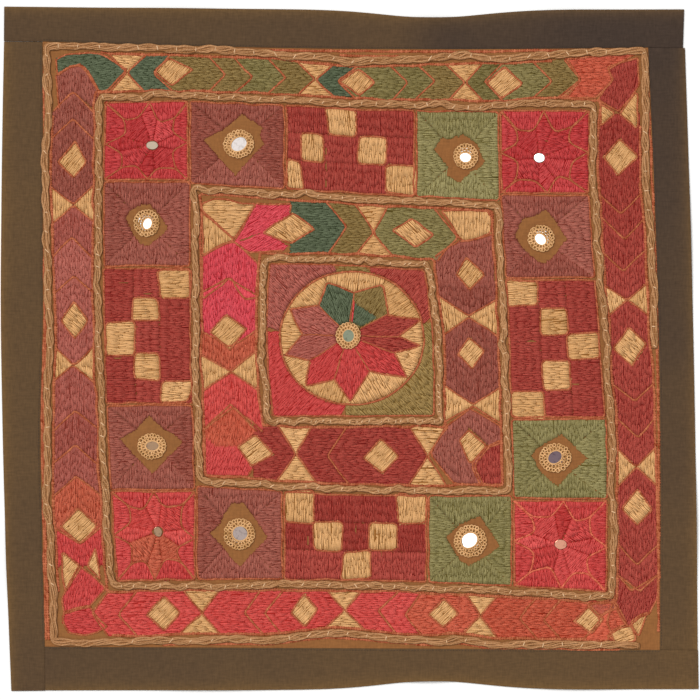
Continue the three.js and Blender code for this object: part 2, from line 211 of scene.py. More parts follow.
class Side(Enum):
    """A side of a frame by its number, clockwise from the top."""

    TOP = 0
    RIGHT = 1
    BOTTOM = 2
    LEFT = 3

    @property
    def axis(self) -> int:
        """The axis that the side runs along."""
        return self.value % 2

    @property
    def inward(self) -> Points:
        """The direction in which the side faces the middle."""
        return np.array(((0.0, -1.0), (-1.0, 0.0), (0.0, 1.0), (1.0, 0.0))[self.value])

    @property
    def before(self) -> "Side":
        """The side that ends where this one starts."""
        return Side((self.value - 1) % 4)

    @property
    def along(self) -> float:
        """The direction of the side in degrees."""
        return 90.0 * self.axis


@dataclass(frozen=True)
class HandFrame:
    """Four drawn sides: corners clockwise from the top left, and how far each side bows inward.

    A side may also be drawn in at the fold, or sway through knots, by places along it and how far inward it
    lies there.
    """

    corners: Shape
    bow: tuple[float, float, float, float] = (0.0, 0.0, 0.0, 0.0)
    drawn_in: tuple[float, float, float, float] = (0.0, 0.0, 0.0, 0.0)
    sway: dict[Side, Shape] = field(default_factory=dict)

    def ends(self, side: Side) -> tuple[Points, Points]:
        """The corners where a side starts and ends."""
        corners = np.array(self.corners, float)
        return corners[side.value], corners[(side.value + 1) % 4]

    def side_point(self, side: Side, share: Points, inset: float = 0.0) -> Points:
        """Points of a side.

        Args:
            side: The side.
            share: Shares of the side's length, clockwise.
            inset: How far the points move inward.

        Returns:
            One x, y row for each share.
        """
        share = np.asarray(share, float)
        start, end = self.ends(side)
        point = start + (end - start) * share[..., None]
        push = inset + self.bow[side.value] * np.sin(np.pi * np.clip(share, 0, 1))
        fold = np.exp(-(((point[..., 0] - FOLD_X) / FOLD_REACH) ** 2))
        push = push + self.drawn_in[side.value] * fold
        if side in self.sway:
            push = push + self.ease(self.sway[side], point[..., side.axis])
        return point + side.inward * push[..., None]

    @staticmethod
    def ease(knots: Shape, place: Points) -> Points:
        """How far a side sways, easing from knot to knot.

        Args:
            knots: Places along the side and how far inward it lies there.
            place: The places asked for.

        Returns:
            How far inward the side lies at each place.
        """
        at, push = np.array(knots).T
        step = np.clip(np.searchsorted(at, place) - 1, 0, len(at) - 2)
        share = np.clip((place - at[step]) / (at[step + 1] - at[step]), 0, 1)
        return push[step] + (push[step + 1] - push[step]) * share**2 * (3 - 2 * share)

    def side_at(self, side: Side, place: Points, inset: float = 0.0) -> Points:
        """Points of a side that lie at given places along it.

        Args:
            side: The side.
            place: Values of x along the top and bottom, or of y along the left and right.
            inset: How far the points move inward.

        Returns:
            One x, y row for each place.
        """
        start, end = self.ends(side)
        share = (np.asarray(place, float) - start[side.axis]) / (end[side.axis] - start[side.axis])
        return self.side_point(side, share, inset)

    def run(self, side: Side, first: float, last: float, step: float, inset: float = 0.0) -> Points:
        """Points along part of a side.

        Args:
            side: The side.
            first: The share of the side where they start.
            last: The share where they end.
            step: About how far apart they are.
            inset: How far they move inward.

        Returns:
            One x, y row for each point.
        """
        start, end = self.ends(side)
        count = max(3, round(math.dist(start, end) * abs(last - first) / step))
        return self.side_point(side, np.linspace(first, last, count, endpoint=False), inset)

    def outline(self, inset: float = 0.0, step: float = 3.0) -> Points:
        """The closed outline of the frame.

        Args:
            inset: How far it moves inward.
            step: The distance between points.

        Returns:
            One x, y row for each point, clockwise.
        """
        loops = []
        for side in Side:
            length = math.dist(*self.ends(side))
            share = np.linspace(inset / length, 1 - inset / length, round(length / step), endpoint=False)
            loops.append(self.side_point(side, share, inset))
        return np.concatenate(loops)


CLOTH = HandFrame(
    ((-371, 368), (359.5, 365), (375, -366.5), (-364, -368)),
    bow=(1.6, -3, 0, -7.2),
    drawn_in=(8.6, 0, 9.4, 0),
)
PANEL = HandFrame(
    ((-330, 330), (321, 323.5), (333.5, -324), (-327.5, -320.5)),
    bow=(4.6, -5.5, 0, 0),
    sway={Side.LEFT: ((-320.5, 0), (-205, -2.3), (-105, -4), (60, -0.6), (330, 0))},
)
CORD_EDGE = HandFrame(
    ((-326, 325.5), (317.5, 321), (337.5, -320.5), (-319, -315.5)),
    sway={
        Side.TOP: ((-326, 0), (-215, 2.2), (-113, 4.6), (16, 13.3), (161, 9), (274, 3), (317.5, 0)),
        Side.RIGHT: ((-320.5, 0), (0, -1.2), (80, -1.4), (122, -0.4), (186, 2.8), (250, 1.6), (321, 0)),
        Side.BOTTOM: ((-319, 0), (-226, 1.3), (-161, 4), (-97, 3.5), (-16, 11), (86, 4.2), (113, 6.5),
                      (155, 1.5), (337.5, 0)),
        Side.LEFT: ((-315.5, 0), (-263, 0.8), (-222, -1.2), (-160, -4.6), (-60, -2.6), (20, 0.6), (107, -1.8),
                    (190, -3), (272, 1), (325.5, 0)),
    },
)
# Below the edge cord's open end on the right the stitched band goes on nearly to the panel's edge.
BELOW_OPEN_END = ((-320.5, 0), (-262, -4), (-60, -5), (-14, -4), (10, -1.2))
BAND_EDGE = HandFrame(
    CORD_EDGE.corners,
    sway={**CORD_EDGE.sway, Side.RIGHT: (*BELOW_OPEN_END, *CORD_EDGE.sway[Side.RIGHT][3:])},
)
CORD_OUTER = HandFrame(
    ((-268, 270), (263, 261.5), (282, -267), (-255.5, -255.5)),
    bow=(0, 0, 6.5, -7),
    sway={
        Side.TOP: ((-268, 0), (-190, -3), (-97, -1), (20, 3), (140, 3.2), (215, -0.6), (263, 0)),
        Side.RIGHT: ((-267, 0), (-195, -3.6), (-95, -6), (6, -2.2), (127, 2.3), (208, 4.6), (261.5, 0)),
    },
)
CORD_MIDDLE_RING = HandFrame(
    ((-166, 172.5), (158.5, 153.5), (171, -153), (-161, -142.5)), bow=(0.8, -2, -4, -2)
)
CORD_INNER = HandFrame(((-91, 97), (85.5, 89.5), (96.5, -78), (-88, -78)), bow=(-2, -4.5, 0, -5))


@dataclass(frozen=True)
class Band:
    """The ground between two corded frames, by place along a side and share across it from the outer edge."""

    outer: HandFrame
    inner: HandFrame
    edge: float = CHANNEL + 0.5

    def point(self, side: Side, place: Points, across: Points) -> Points:
        """Points of the band.

        Args:
            side: The side of the band.
            place: Places along the side.
            across: Shares of the band's width, 0 at its outer edge and 1 at its inner edge.

        Returns:
            One x, y row for each point.
        """
        outer = self.outer.side_at(side, place, self.edge)
        inner = self.inner.side_at(side, place, -self.edge)
        return outer + (inner - outer) * np.asarray(across, float)[..., None]

    def path(self, side: Side, corners: Sequence[tuple], closed: bool, step: float = 9.0) -> Points:
        """A line through the band that follows its bows.

        Args:
            side: The side of the band.
            corners: Places and shares across of the line's corners.
            closed: Whether the line returns to its start.
            step: The longest stretch between two points, along the side.

        Returns:
            One x, y row for each point.
        """
        knots = np.array([*corners, corners[0]] if closed else corners, float)
        stretches = []
        for here, there in zip(knots, knots[1:]):
            count = max(1, math.ceil(abs(there[0] - here[0]) / step))
            share = np.linspace(0, 1, count, endpoint=False)[:, None]
            stretches.append(here + (there - here) * share)
        if not closed:
            stretches.append(knots[-1:])
        places = np.concatenate(stretches)
        return self.point(side, places[:, 0], places[:, 1])


class NodeBoard:
    """A node tree with short ways to add nodes to it and wire them."""

    def __init__(self, tree: NodeTree) -> None:
        """Keeps the tree that is wired."""
        self.tree = tree

    def feed(self, socket: NodeSocket, value: object) -> None:
        """Links or sets a socket.

        Args:
            socket: The socket.
            value: A socket that it is linked to, or its value.
        """
        if isinstance(value, NodeSocket):
            self.tree.links.new(value, socket)
        else:
            socket.default_value = value

    def add(self, kind: str, inputs: dict[str | int, object] | None = None, **settings: object) -> Node:
        """Adds a node.

        Args:
            kind: The node's type name.
            inputs: Values or sockets for its inputs, by name or number.
            **settings: Properties of the node.

        Returns:
            The node.
        """
        node = self.tree.nodes.new(kind)
        for name, value in settings.items():
            setattr(node, name, value)
        for name, value in (inputs or {}).items():
            self.feed(node.inputs[name], value)
        return node

    def math(self, operation: str, *values: object) -> NodeSocket:
        """Adds a step of arithmetic on values or sockets and returns its result."""
        return self.add("ShaderNodeMath", dict(enumerate(values)), operation=operation).outputs[0]

    def blend(self, share: object, first: object, second: object) -> NodeSocket:
        """Adds a mix of two colours by the share of the second and returns the mixed colour."""
        colours = {0: share, 6: first, 7: second}
        return self.add("ShaderNodeMix", colours, data_type="RGBA", clamp_factor=True).outputs[2]

    def ramp(self, value: object, low: float, high: float) -> NodeSocket:
        """Adds a smooth step from 0 at low to 1 at high and returns its result."""
        stops = {"Value": value, "From Min": low, "From Max": high}
        return self.add("ShaderNodeMapRange", stops, interpolation_type="SMOOTHSTEP").outputs["Result"]

    def noise(self, vector: object, scale: object, detail: float = 2.0) -> NodeSocket:
        """Adds soft noise and returns its value."""
        inputs = {"Vector": vector, "Scale": scale, "Detail": detail}
        return self.add("ShaderNodeTexNoise", inputs).outputs["Fac"]

    def bump(self, shader: Node, height: NodeSocket, strength: float, distance: float = RELIEF) -> None:
        """Feeds a shader's normal from a height."""
        node = self.add("ShaderNodeBump", {"Height": height, "Strength": strength, "Distance": distance})
        self.feed(shader.inputs["Normal"], node.outputs["Normal"])


def start_material(name: str) -> tuple[Material, NodeBoard, Node]:
    """Starts a material.

    Args:
        name: Its name.

    Returns:
        The material, its board and its shader.
    """
    material = bpy.data.materials.new(name)
    material.use_nodes = True
    return material, NodeBoard(material.node_tree), material.node_tree.nodes["Principled BSDF"]


class SharedEffects:
    """Surface effects that several finishes use, each a node group that is built once."""

    def __init__(self) -> None:
        """Builds the groups."""
        self.twist = self.make_twist()
        self.weave = self.make_weave()
        self.age = self.make_age()

    @staticmethod
    def start(name: str, inputs: dict[str, float], outputs: Sequence[str]) -> tuple[NodeBoard, Node, Node]:
        """Starts a node group.

        Args:
            name: The group's name.
            inputs: Its number inputs and their values.
            outputs: The names of its outputs.

        Returns:
            The board, the group's input node and its output node.
        """
        tree = bpy.data.node_groups.new(name, "ShaderNodeTree")
        for title, value in inputs.items():
            socket = tree.interface.new_socket(name=title, in_out="INPUT", socket_type="NodeSocketFloat")
            socket.default_value = value
        for title in outputs:
            tree.interface.new_socket(name=title, in_out="OUTPUT", socket_type="NodeSocketFloat")
        board = NodeBoard(tree)
        return board, board.add("NodeGroupInput"), board.add("NodeGroupOutput")

    def make_twist(self) -> NodeTree:
        """The plies and fibres of a thread, on its own map of millimetres along and turns around.

        Returns:
            The group.
        """
        board, given, out = self.start("thread_twist", {"Turns": 0.5, "Fibre": 2.2}, ("Shade", "Height"))
        place = board.add("ShaderNodeUVMap", uv_map="thread").outputs["UV"]
        parts = board.add("ShaderNodeSeparateXYZ", {"Vector": place})
        along, around = parts.outputs["X"], parts.outputs["Y"]
        phase = board.math("MULTIPLY_ADD", along, given.outputs["Turns"], around)
        ply = board.math("SINE", board.math("MULTIPLY", phase, 2 * math.pi))
        drawn_out = board.math("MULTIPLY", along, 0.35)
        fibre_place = board.add("ShaderNodeCombineXYZ", {"X": drawn_out, "Y": around})
        fibre = board.noise(fibre_place.outputs[0], given.outputs["Fibre"])
        board.feed(out.inputs["Shade"], fibre)
        board.feed(out.inputs["Height"], board.math("MULTIPLY_ADD", ply, 0.3, fibre))
        return board.tree

    def make_weave(self) -> NodeTree:
        """A plain weave with slubs, on the piece's own place.

        Returns:
            The group, with its pitch in millimetres.
        """
        board, given, out = self.start("plain_weave", {"Pitch": 0.9}, ("Shade", "Height"))
        place = board.add("ShaderNodeTexCoord").outputs["Object"]
        parts = board.add("ShaderNodeSeparateXYZ", {"Vector": place})
        turns = board.math("DIVIDE", 2 * math.pi / MM, given.outputs["Pitch"])
        warp = board.math("SINE", board.math("MULTIPLY", parts.outputs["X"], turns))
        weft = board.math("SINE", board.math("MULTIPLY", parts.outputs["Y"], turns))
        check = board.math("MULTIPLY", warp, weft)
        slubs = []
        for stretch in ((110.0, 560.0, 60.0), (560.0, 110.0, 60.0)):
            mapped = board.add("ShaderNodeMapping", {"Vector": place, "Scale": stretch})
            slubs.append(board.noise(mapped.outputs[0], 1.0, 3.0))
        slub = board.math("MULTIPLY", board.math("ADD", *slubs), 0.5)
        board.feed(out.inputs["Shade"], slub)
        board.feed(out.inputs["Height"], board.math("MULTIPLY_ADD", check, 0.5, slub))
        return board.tree

    def make_age(self) -> NodeTree:
        """Broad uneven fading from light and washing, on the piece's own place.

        Returns:
            The group.
        """
        board, given, out = self.start("age", {"Reach": 26.0}, ("Mask",))
        place = board.add("ShaderNodeTexCoord").outputs["Object"]
        broad = board.noise(place, given.outputs["Reach"], 3.0)
        board.feed(out.inputs["Mask"], board.ramp(broad, 0.38, 0.68))
        return board.tree


@dataclass(frozen=True)
class ThreadFinish:
    """Dyed thread: its colour as seen on screen, and how far its painted sheen and painted shade lie from it.

    A tint of 0.5 is the colour itself, 0 the painted shade, 1 the painted sheen, spread at random from stitch
    to stitch and along the fibres, and -1 the painted shade in the gap between two threads.
    The gain makes the colour come out as it is on screen under the studio's light.
    """

    name: str
    colour: Colour
    # Painted light in screen units: the sheen is a painted highlight on the light side, the depth painted
    # shade on the dark side, and the gap the painted shade between threads.
    sheen: float = 34.0
    depth: float = 38.0
    gap: float = 50.0
    grain: float = 1.5
    roughness: float = 0.6
    gain: float = 1.08

    def shade(self, change: float) -> Light:
        """The light value of the colour, made lighter or darker on screen by a change."""
        return linear(np.array(self.colour) + change, self.gain)

    def material(self, effects: SharedEffects) -> Material:
        """Makes the thread's material.

        Args:
            effects: The shared node groups.

        Returns:
            The material.
        """
        material, board, shader = start_material(f"{self.name}_thread")
        twist = board.add("ShaderNodeGroup", node_tree=effects.twist)
        tint = board.add("ShaderNodeAttribute", attribute_name="tint").outputs["Fac"]
        evened = board.math("SUBTRACT", tint, self.grain / 2)
        tone = board.math("MULTIPLY_ADD", twist.outputs["Shade"], self.grain, evened)
        # The tone blends the thread's colour between its painted shade and its painted sheen.
        sheen_and_shade_tone = board.blend(tone, self.shade(-self.depth), self.shade(self.sheen))
        # A tint below 0 blends on to the painted shade of the gap between threads.
        gap_shade_share = board.math("MULTIPLY", tint, -1.0)
        board.feed(shader.inputs["Base Color"], board.blend(gap_shade_share, sheen_and_shade_tone, self.shade(-self.gap)))
        board.bump(shader, twist.outputs["Height"], 0.35)
        shader.inputs["Roughness"].default_value = self.roughness
        shader.inputs["Specular IOR Level"].default_value = DULL
        return material


class Thread(Enum):
    """The threads on the cloth."""

    # Each thread's sheen, depth and gap set its painted highlight and its painted shades.
    TEAL = ThreadFinish("teal", (90, 100, 71))
    GREEN = ThreadFinish("green", (145, 133, 79), sheen=44, depth=48)
    SAGE = ThreadFinish("sage", (134, 119, 66), sheen=38, depth=42)
    MOSS = ThreadFinish("moss", (159, 128, 70))
    OLIVE = ThreadFinish("olive", (140, 113, 59))
    CREAM = ThreadFinish("cream", (229, 174, 114), sheen=24, depth=36, gap=90)
    CRIMSON = ThreadFinish("crimson", (199, 60, 59))
    SCARLET = ThreadFinish("scarlet", (206, 67, 62))
    ROSE = ThreadFinish("rose", (217, 78, 70))
    PINK = ThreadFinish("pink", (219, 69, 79))
    CORAL = ThreadFinish("coral", (203, 89, 60))
    BRICK = ThreadFinish("brick", (192, 86, 56))
    MAROON = ThreadFinish("maroon", (169, 61, 47))
    MAUVE = ThreadFinish("mauve", (160, 83, 66))
    LILAC = ThreadFinish("lilac", (176, 91, 76))
    RUST = ThreadFinish("rust", (165, 84, 47), sheen=26, depth=30)
    CORD = ThreadFinish("cord", (172, 122, 76), sheen=34, depth=40)
    TIE = ThreadFinish("tie", (220, 180, 138), sheen=16, depth=20)
    LACE = ThreadFinish("lace", (212, 164, 110), sheen=24, depth=28, gap=95)
    SEWING = ThreadFinish("sewing", (58, 46, 37), sheen=10, depth=10)


# Short names of the threads.
(
    TEAL, GREEN, SAGE, MOSS, OLIVE, CREAM, CRIMSON, SCARLET, ROSE, PINK,
    CORAL, BRICK, MAROON, MAUVE, LILAC, RUST, CORD, TIE, LACE, SEWING,
) = Thread


@dataclass(frozen=True)
class ClothFinish:
    """Plain cotton: its colour, the colour it fades to, the size of its weave and how it fades.

    Clouding is the share of broad uneven fading. A worn cloth also fades by the attribute of its mesh.
    """

    name: str
    colour: Colour
    faded: Colour
    pitch: float
    clouding: float
    unevenness: float
    worn: bool = False

    def material(self, effects: SharedEffects) -> Material:
        """Makes the cloth's material.

        Args:
            effects: The shared node groups.

        Returns:
            The material.
        """
        material, board, shader = start_material(self.name)
        weave = board.add("ShaderNodeGroup", {"Pitch": self.pitch}, node_tree=effects.weave)
        age = board.add("ShaderNodeGroup", {"Reach": 9.0}, node_tree=effects.age)
        fading = board.math("MULTIPLY", age.outputs["Mask"], self.clouding)
        if self.worn:
            fade = board.add("ShaderNodeAttribute", attribute_name="fade").outputs["Fac"]
            fading = board.math("ADD", fade, fading)
        base = board.blend(fading, linear(self.colour), linear(self.faded))
        lowest = 1.0 - self.unevenness / 2
        value = board.math("MULTIPLY_ADD", weave.outputs["Shade"], self.unevenness, lowest)
        shade = board.add("ShaderNodeHueSaturation", {"Color": base, "Value": value})
        board.feed(shader.inputs["Base Color"], shade.outputs["Color"])
        board.bump(shader, weave.outputs["Height"], 0.4)
        shader.inputs["Roughness"].default_value = 0.88
        shader.inputs["Specular IOR Level"].default_value = DULL
        return material


GROUND_FINISH = ClothFinish("ground_cotton", (140, 90, 48), (152, 102, 56), 0.7, clouding=0.4, unevenness=1.0)
BORDER_FINISH = ClothFinish(
    "border_cotton", (63, 50, 42), (113, 84, 48), 0.6, clouding=0.08, unevenness=1.1, worn=True
)


@dataclass(frozen=True)
class MirrorFinish:
    """Hand-cut mirror glass, tinted with a painted reflection of what it faces, from bright to clouded.

    The gain makes it show its screen colours where it reflects the overhead light.
    """

    name: str
    colour: Colour
    clouded: Colour
    roughness: float = 0.08
    gain: float = 0.62

    def material(self) -> Material:
        """Makes the glass, its painted reflection tint broken by clouds in its silvering.

        Returns:
            The material.
        """
        material, board, shader = start_material(self.name)
        place = board.add("ShaderNodeTexCoord").outputs["Object"]
        cloud = board.ramp(board.noise(place, 260.0, 3.0), 0.52, 0.72)
        # The glass's colour is a painted reflection, clouded in places.
        painted_reflection = board.blend(cloud, linear(self.colour, self.gain), linear(self.clouded, self.gain))
        board.feed(shader.inputs["Base Color"], painted_reflection)
        board.bump(shader, board.noise(place, 90.0), 0.15, MM)
        board.feed(shader.inputs["Roughness"], board.math("MULTIPLY_ADD", cloud, 0.2, self.roughness))
        shader.inputs["Metallic"].default_value = 1.0
        return material


class Mirror(Enum):
    """The painted reflections of the mirrors on the cloth, each a tint that stands for what the glass
    reflects.
    """

    # Each tint stands for what the mirror reflects, a painted reflection.
    WHITE = MirrorFinish("mirror_white", (252, 253, 253), (236, 240, 240), gain=1.0)
    PALE = MirrorFinish("mirror_pale", (226, 217, 212), (206, 196, 190))
    MIST = MirrorFinish("mirror_mist", (192, 174, 152), (164, 152, 128))
    BLUE = MirrorFinish("mirror_blue", (170, 154, 148), (140, 126, 122))
    GREY = MirrorFinish("mirror_grey", (164, 132, 104), (140, 112, 90))
    VIOLET = MirrorFinish("mirror_violet", (116, 98, 104), (88, 72, 80))
    SAGE = MirrorFinish("mirror_sage", (136, 142, 120), (112, 116, 98))
    SAND = MirrorFinish("mirror_sand", (212, 150, 124), (192, 134, 110))


class Skein:
    """Threads gathered into one mesh of triangles, each with a map along it and a tint."""

    def __init__(self) -> None:
        """Starts with no threads."""
        self.points: list[Points] = []
        self.faces: list[Points] = []
        self.places: list[Points] = []
        self.tints: list[Points] = []
        self.count = 0

    def add(self, points: Points, faces: Points, places: Points, tints: Points) -> None:
        """Adds threads.

        Args:
            points: x, y and z of each point in millimetres.
            faces: Three point numbers for each triangle.
            places: Millimetres along the thread and turns around it, for each point.
            tints: The tint of each point.
        """
        self.points.append(points)
        self.faces.append(faces + self.count)
        self.places.append(places)
        self.tints.append(tints)
        self.count += len(points)

    def tube(
        self, path: Points, radius: float, sides: int, closed: bool, tint: object, flatness: float = 1.0
    ) -> None:
        """Adds a round thread along a path.

        Args:
            path: x, y and z rows.
            radius: The thread's radius.
            sides: The number of its sides.
            closed: Whether the path returns to its start.
            tint: Its tint, or its tint at each row of the path.
            flatness: Its height as a share of its width.
        """
        count = len(path)
        ahead = directions(path, closed)
        aside = unit(np.cross(np.array((0.0, 0.0, 1.0)), ahead))
        up = np.cross(ahead, aside)
        turn = math.pi / 2 + 2 * math.pi * np.arange(sides) / sides
        cosine, sine = np.cos(turn)[None, :, None], np.sin(turn)[None, :, None]
        ring = cosine * aside[:, None] + flatness * sine * up[:, None]
        places = np.zeros((count, sides, 2))
        places[..., 0] = travelled(path)[:, None]
        places[..., 1] = turn / (2 * math.pi)
        points = (path[:, None] + radius * ring).reshape(-1, 3)
        tints = np.repeat(np.broadcast_to(tint, count), sides)
        self.add(points, self.skin(count, sides, closed), places.reshape(-1, 2), tints)

    @staticmethod
    def skin(count: int, sides: int, closed: bool) -> Points:
        """The triangles of one tube.

        Args:
            count: The number of rings of points along it.
            sides: The number of points in a ring.
            closed: Whether the last ring joins the first.

        Returns:
            Three point numbers for each triangle.
        """
        faces = []
        for station in range(count if closed else count - 1):
            here, there = station * sides, (station + 1) % count * sides
            for corner in range(sides):
                after = (corner + 1) % sides
                faces.append((here + corner, there + corner, there + after))
                faces.append((here + corner, there + after, here + after))
        if not closed:
            last = (count - 1) * sides
            for corner in range(1, sides - 1):
                faces.append((0, corner, corner + 1))
                faces.append((last, last + corner + 1, last + corner))
        return np.array(faces)

    def mesh(self, name: str, sharpest: float = 180.0) -> Mesh:
        """Makes the mesh.

        Args:
            name: Its name.
            sharpest: The angle in degrees up to which edges are smooth.

        Returns:
            The mesh.
        """
        points, faces = np.concatenate(self.points), np.concatenate(self.faces)
        mesh = bpy.data.meshes.new(name)
        mesh.vertices.add(len(points))
        mesh.vertices.foreach_set("co", (points * MM).astype(np.float32).ravel())
        mesh.loops.add(faces.size)
        mesh.loops.foreach_set("vertex_index", faces.astype(np.int32).ravel())
        mesh.polygons.add(len(faces))
        mesh.polygons.foreach_set("loop_start", np.arange(0, faces.size, 3, dtype=np.int32))
        mesh.update(calc_edges=True)
        mesh.shade_smooth()
        if sharpest < 180:
            mesh.set_sharp_from_angle(angle=math.radians(sharpest))
        layer = mesh.uv_layers.new(name="thread")
        layer.uv.foreach_set("vector", np.concatenate(self.places)[faces.ravel()].astype(np.float32).ravel())
        attribute = mesh.attributes.new("tint", "FLOAT", "POINT")
        attribute.data.foreach_set("value", np.concatenate(self.tints).astype(np.float32))
        return mesh


class Workshop:
    """Puts meshes into the scene with their finish, and keeps a list of the pieces."""

    def __init__(self) -> None:
        """Makes the shared effects and the materials of threads and mirrors."""
        self.effects = SharedEffects()
        self.materials: dict[Enum, Material] = {mirror: mirror.value.material() for mirror in Mirror}
        self.materials |= {thread: thread.value.material(self.effects) for thread in Thread}
        self.pieces: list[Object] = []

    def place(self, mesh: Mesh, material: Material, slot: str, replaced: Sequence[str] = ()) -> Object:
        """Puts a finished mesh into the scene as a piece of the cloth.

        Args:
            mesh: The mesh.
            material: Its material.
            slot: Not used.
            replaced: The solids that the piece stands for.

        Returns:
            The piece.
        """
        mesh.materials.append(material)
        piece = bpy.data.objects.new(mesh.name, mesh)
        bpy.context.scene.collection.objects.link(piece)
        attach(piece, "root")
        if replaced:
            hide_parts(*replaced)
        self.pieces.append(piece)
        LOG.info("%s: %d faces", piece.name, len(mesh.polygons))
        return piece


class Stitch(Enum):
    """The kinds of stitch, each by places along it and the share of its rise there."""

    FIELD = ((0.0, 1.0), (1.0, 1.0))
    LINE = ((0.0, 0.45), (0.5, 1.0), (1.0, 0.45))


@dataclass
class Patch:
    """A field of straight stitches laid side by side: its outline, thread, direction and bare holes.

    Loose is the share of stitches that have worn away, ticks the share of row ends with a dark gap of painted
    shade beside them, and contrast how far the tint of a field strays from its thread's own.
    """

    loop: Points
    thread: Thread
    angle: float
    holes: Sequence[Points] = ()
    spacing: float = 0.95
    longest: float = 11.0
    loose: float = 0.01
    ticks: float = 0.14
    contrast: float = 0.06


@dataclass
class Needle:
    """Works straight stitches into patches and slanting stitches along lines, and turns them into meshes.

    Each stitch is a row of start x, y, end x, y, foot, width, rise, tint and the share of its width at its
    ends. Under threads close the ground of a patch, their width a share of its spacing, and their dark tint
    is painted shade between the rows; dots are stitches trimmed back so that this painted shade shows. Ticks
    are dark gaps of painted shade beside the ends of rows, and parts are dark gaps of painted shade between
    two fields, their rise by a stitch's.
    """

    seed: int = 7
    lap: float = 0.2
    foot: float = GROUND_TOP
    rise: float = 0.11
    ragged: float = 0.6
    row_stray: float = 0.1
    shortest_row: float = 1.0
    shortest_stitch: float = 0.8
    break_stray: float = 0.22
    lean: float = 0.16
    dots: float = 0.4
    dot_trim: float = 0.6
    trim: float = 0.08
    shades: float = 0.07
    taper: float = 0.9
    under_rise: float = 0.05
    under_width: float = 1.5
    # The under threads are tinted as painted shade between the rows.
    under_shade_tint: float = -0.85
    under_shades: float = 0.1
    tick_rise: float = 1.25
    tick_width: float = 0.75
    # Ticks beside row ends are tinted as painted shade.
    tick_shade_tint: float = -0.8
    tick_reach: tuple[float, float] = (1.5, 5.0)
    tick_taper: float = 0.8
    part_step: float = 4.0
    part_rise: float = 1.5
    part_width: float = 1.2
    # Parts between fields are tinted as painted shade.
    part_shade_tint: float = -0.9
    line_step: float = 2.7
    line_reach: float = 4.8
    line_width: float = 1.9
    line_slant: float = 0.5
    line_wander: float = 0.5
    line_lift: float = 0.1
    line_rise: float = 0.7
    line_shades: float = 0.2
    line_taper: float = 0.6
    wander_step: float = 13.0
    edge_rise: float = 0.12
    most_stitches: int = 12000
    ridge: float = 110.0
    rows: dict[tuple[Thread, Stitch], list[tuple[float, ...]]] = field(default_factory=dict)

    def __post_init__(self) -> None:
        """Starts the hand's unsteadiness from the seed."""
        self.random = np.random.default_rng(self.seed)

    def unsteady(self, corners: Sequence[tuple], along: float, across: float) -> list[tuple[float, float]]:
        """Moves the corners of a motif a little, as a hand does.

        Args:
            corners: Places along a band and shares across it.
            along: How far they stray along.
            across: How far they stray across.

        Returns:
            The moved corners.
        """
        moved = []
        for place, share in corners:
            moved.append((place + self.random.normal(0, along), share + self.random.normal(0, across)))
        return moved

    @staticmethod
    def crossings(loop: Points, level: float) -> list[float]:
        """Where a closed loop crosses a level line.

        Args:
            loop: The loop.
            level: The height of the line.

        Returns:
            The places along the line, in order.
        """
        start, end = loop, np.roll(loop, -1, axis=0)
        cut = (start[:, 1] <= level) != (end[:, 1] <= level)
        start, end = start[cut], end[cut]
        share = (level - start[:, 1]) / (end[:, 1] - start[:, 1])
        return sorted((start[:, 0] + share * (end[:, 0] - start[:, 0])).tolist())

    def spans(self, loop: Points, holes: Sequence[Points], level: float) -> list[tuple[float, float]]:
        """The stretches of a level line inside a loop and outside its holes.

        Args:
            loop: The closed loop.
            holes: Closed loops that stay bare.
            level: The height of the line.

        Returns:
            The start and end of each stretch.
        """
        marks = self.crossings(loop, level)
        open_spans = list(zip(marks[::2], marks[1::2]))
        for hole in holes:
            bare = self.crossings(hole, level)
            for bare_start, bare_end in zip(bare[::2], bare[1::2]):
                kept = []
                for start, end in open_spans:
                    kept.append((start, min(end, bare_start)))
                    kept.append((max(start, bare_end), end))
                open_spans = [span for span in kept if span[1] > span[0]]
        return open_spans

    def fill(self, patch: Patch) -> None:
        """Fills a patch with rows of straight stitches over broad threads that close its ground, tinted as
        painted shade.

        Args:
            patch: The patch.
        """
        turn = math.radians(patch.angle)
        ahead = np.array((math.cos(turn), math.sin(turn)))
        aside = left_of(ahead)
        axes = np.stack((ahead, aside), axis=1)
        loop = patch.loop @ axes
        low, high = patch.loop.min(axis=0), patch.loop.max(axis=0)
        holes = [
            hole @ axes
            for hole in patch.holes
            if (hole.max(axis=0) > low).all() and (hole.min(axis=0) < high).all()
        ]
        rows = self.rows.setdefault((patch.thread, Stitch.FIELD), [])
        tone = 0.5 + self.random.normal(0, patch.contrast)
        for row in np.arange(loop[:, 1].min() + patch.spacing / 2, loop[:, 1].max(), patch.spacing):
            level = row + self.random.normal(0, self.row_stray) * patch.spacing
            for start, end in self.spans(loop, holes, level):
                start -= self.lap + self.random.normal(0, self.ragged)
                end += self.lap + self.random.normal(0, self.ragged)
                if end - start < self.shortest_row:
                    continue
                ends = (*(ahead * start + aside * level), *(ahead * end + aside * level))
                # The under thread carries painted shade between the rows.
                tint = self.under_shade_tint + self.random.normal(0, self.under_shades)
                rows.append((*ends, self.foot, self.under_width * patch.spacing, self.under_rise, tint, 1.0))
                self.run_row(patch, tone, (ahead, aside), level, start, end)
                for edge, way in ((start, 1), (end, -1)):
                    if self.random.random() < patch.ticks:
                        beside = aside * (level + patch.spacing / 2)
                        tip = edge + way * min(self.random.uniform(*self.tick_reach), end - start)
                        tick = (*(ahead * edge + beside), *(ahead * tip + beside))
                        # A tick is a dark strip of painted shade beside the row end.
                        tick_shade_and_taper = (self.tick_shade_tint, self.tick_taper)
                        rise = self.tick_rise * self.rise
                        rows.append((*tick, self.foot, self.tick_width, rise, *tick_shade_and_taper))

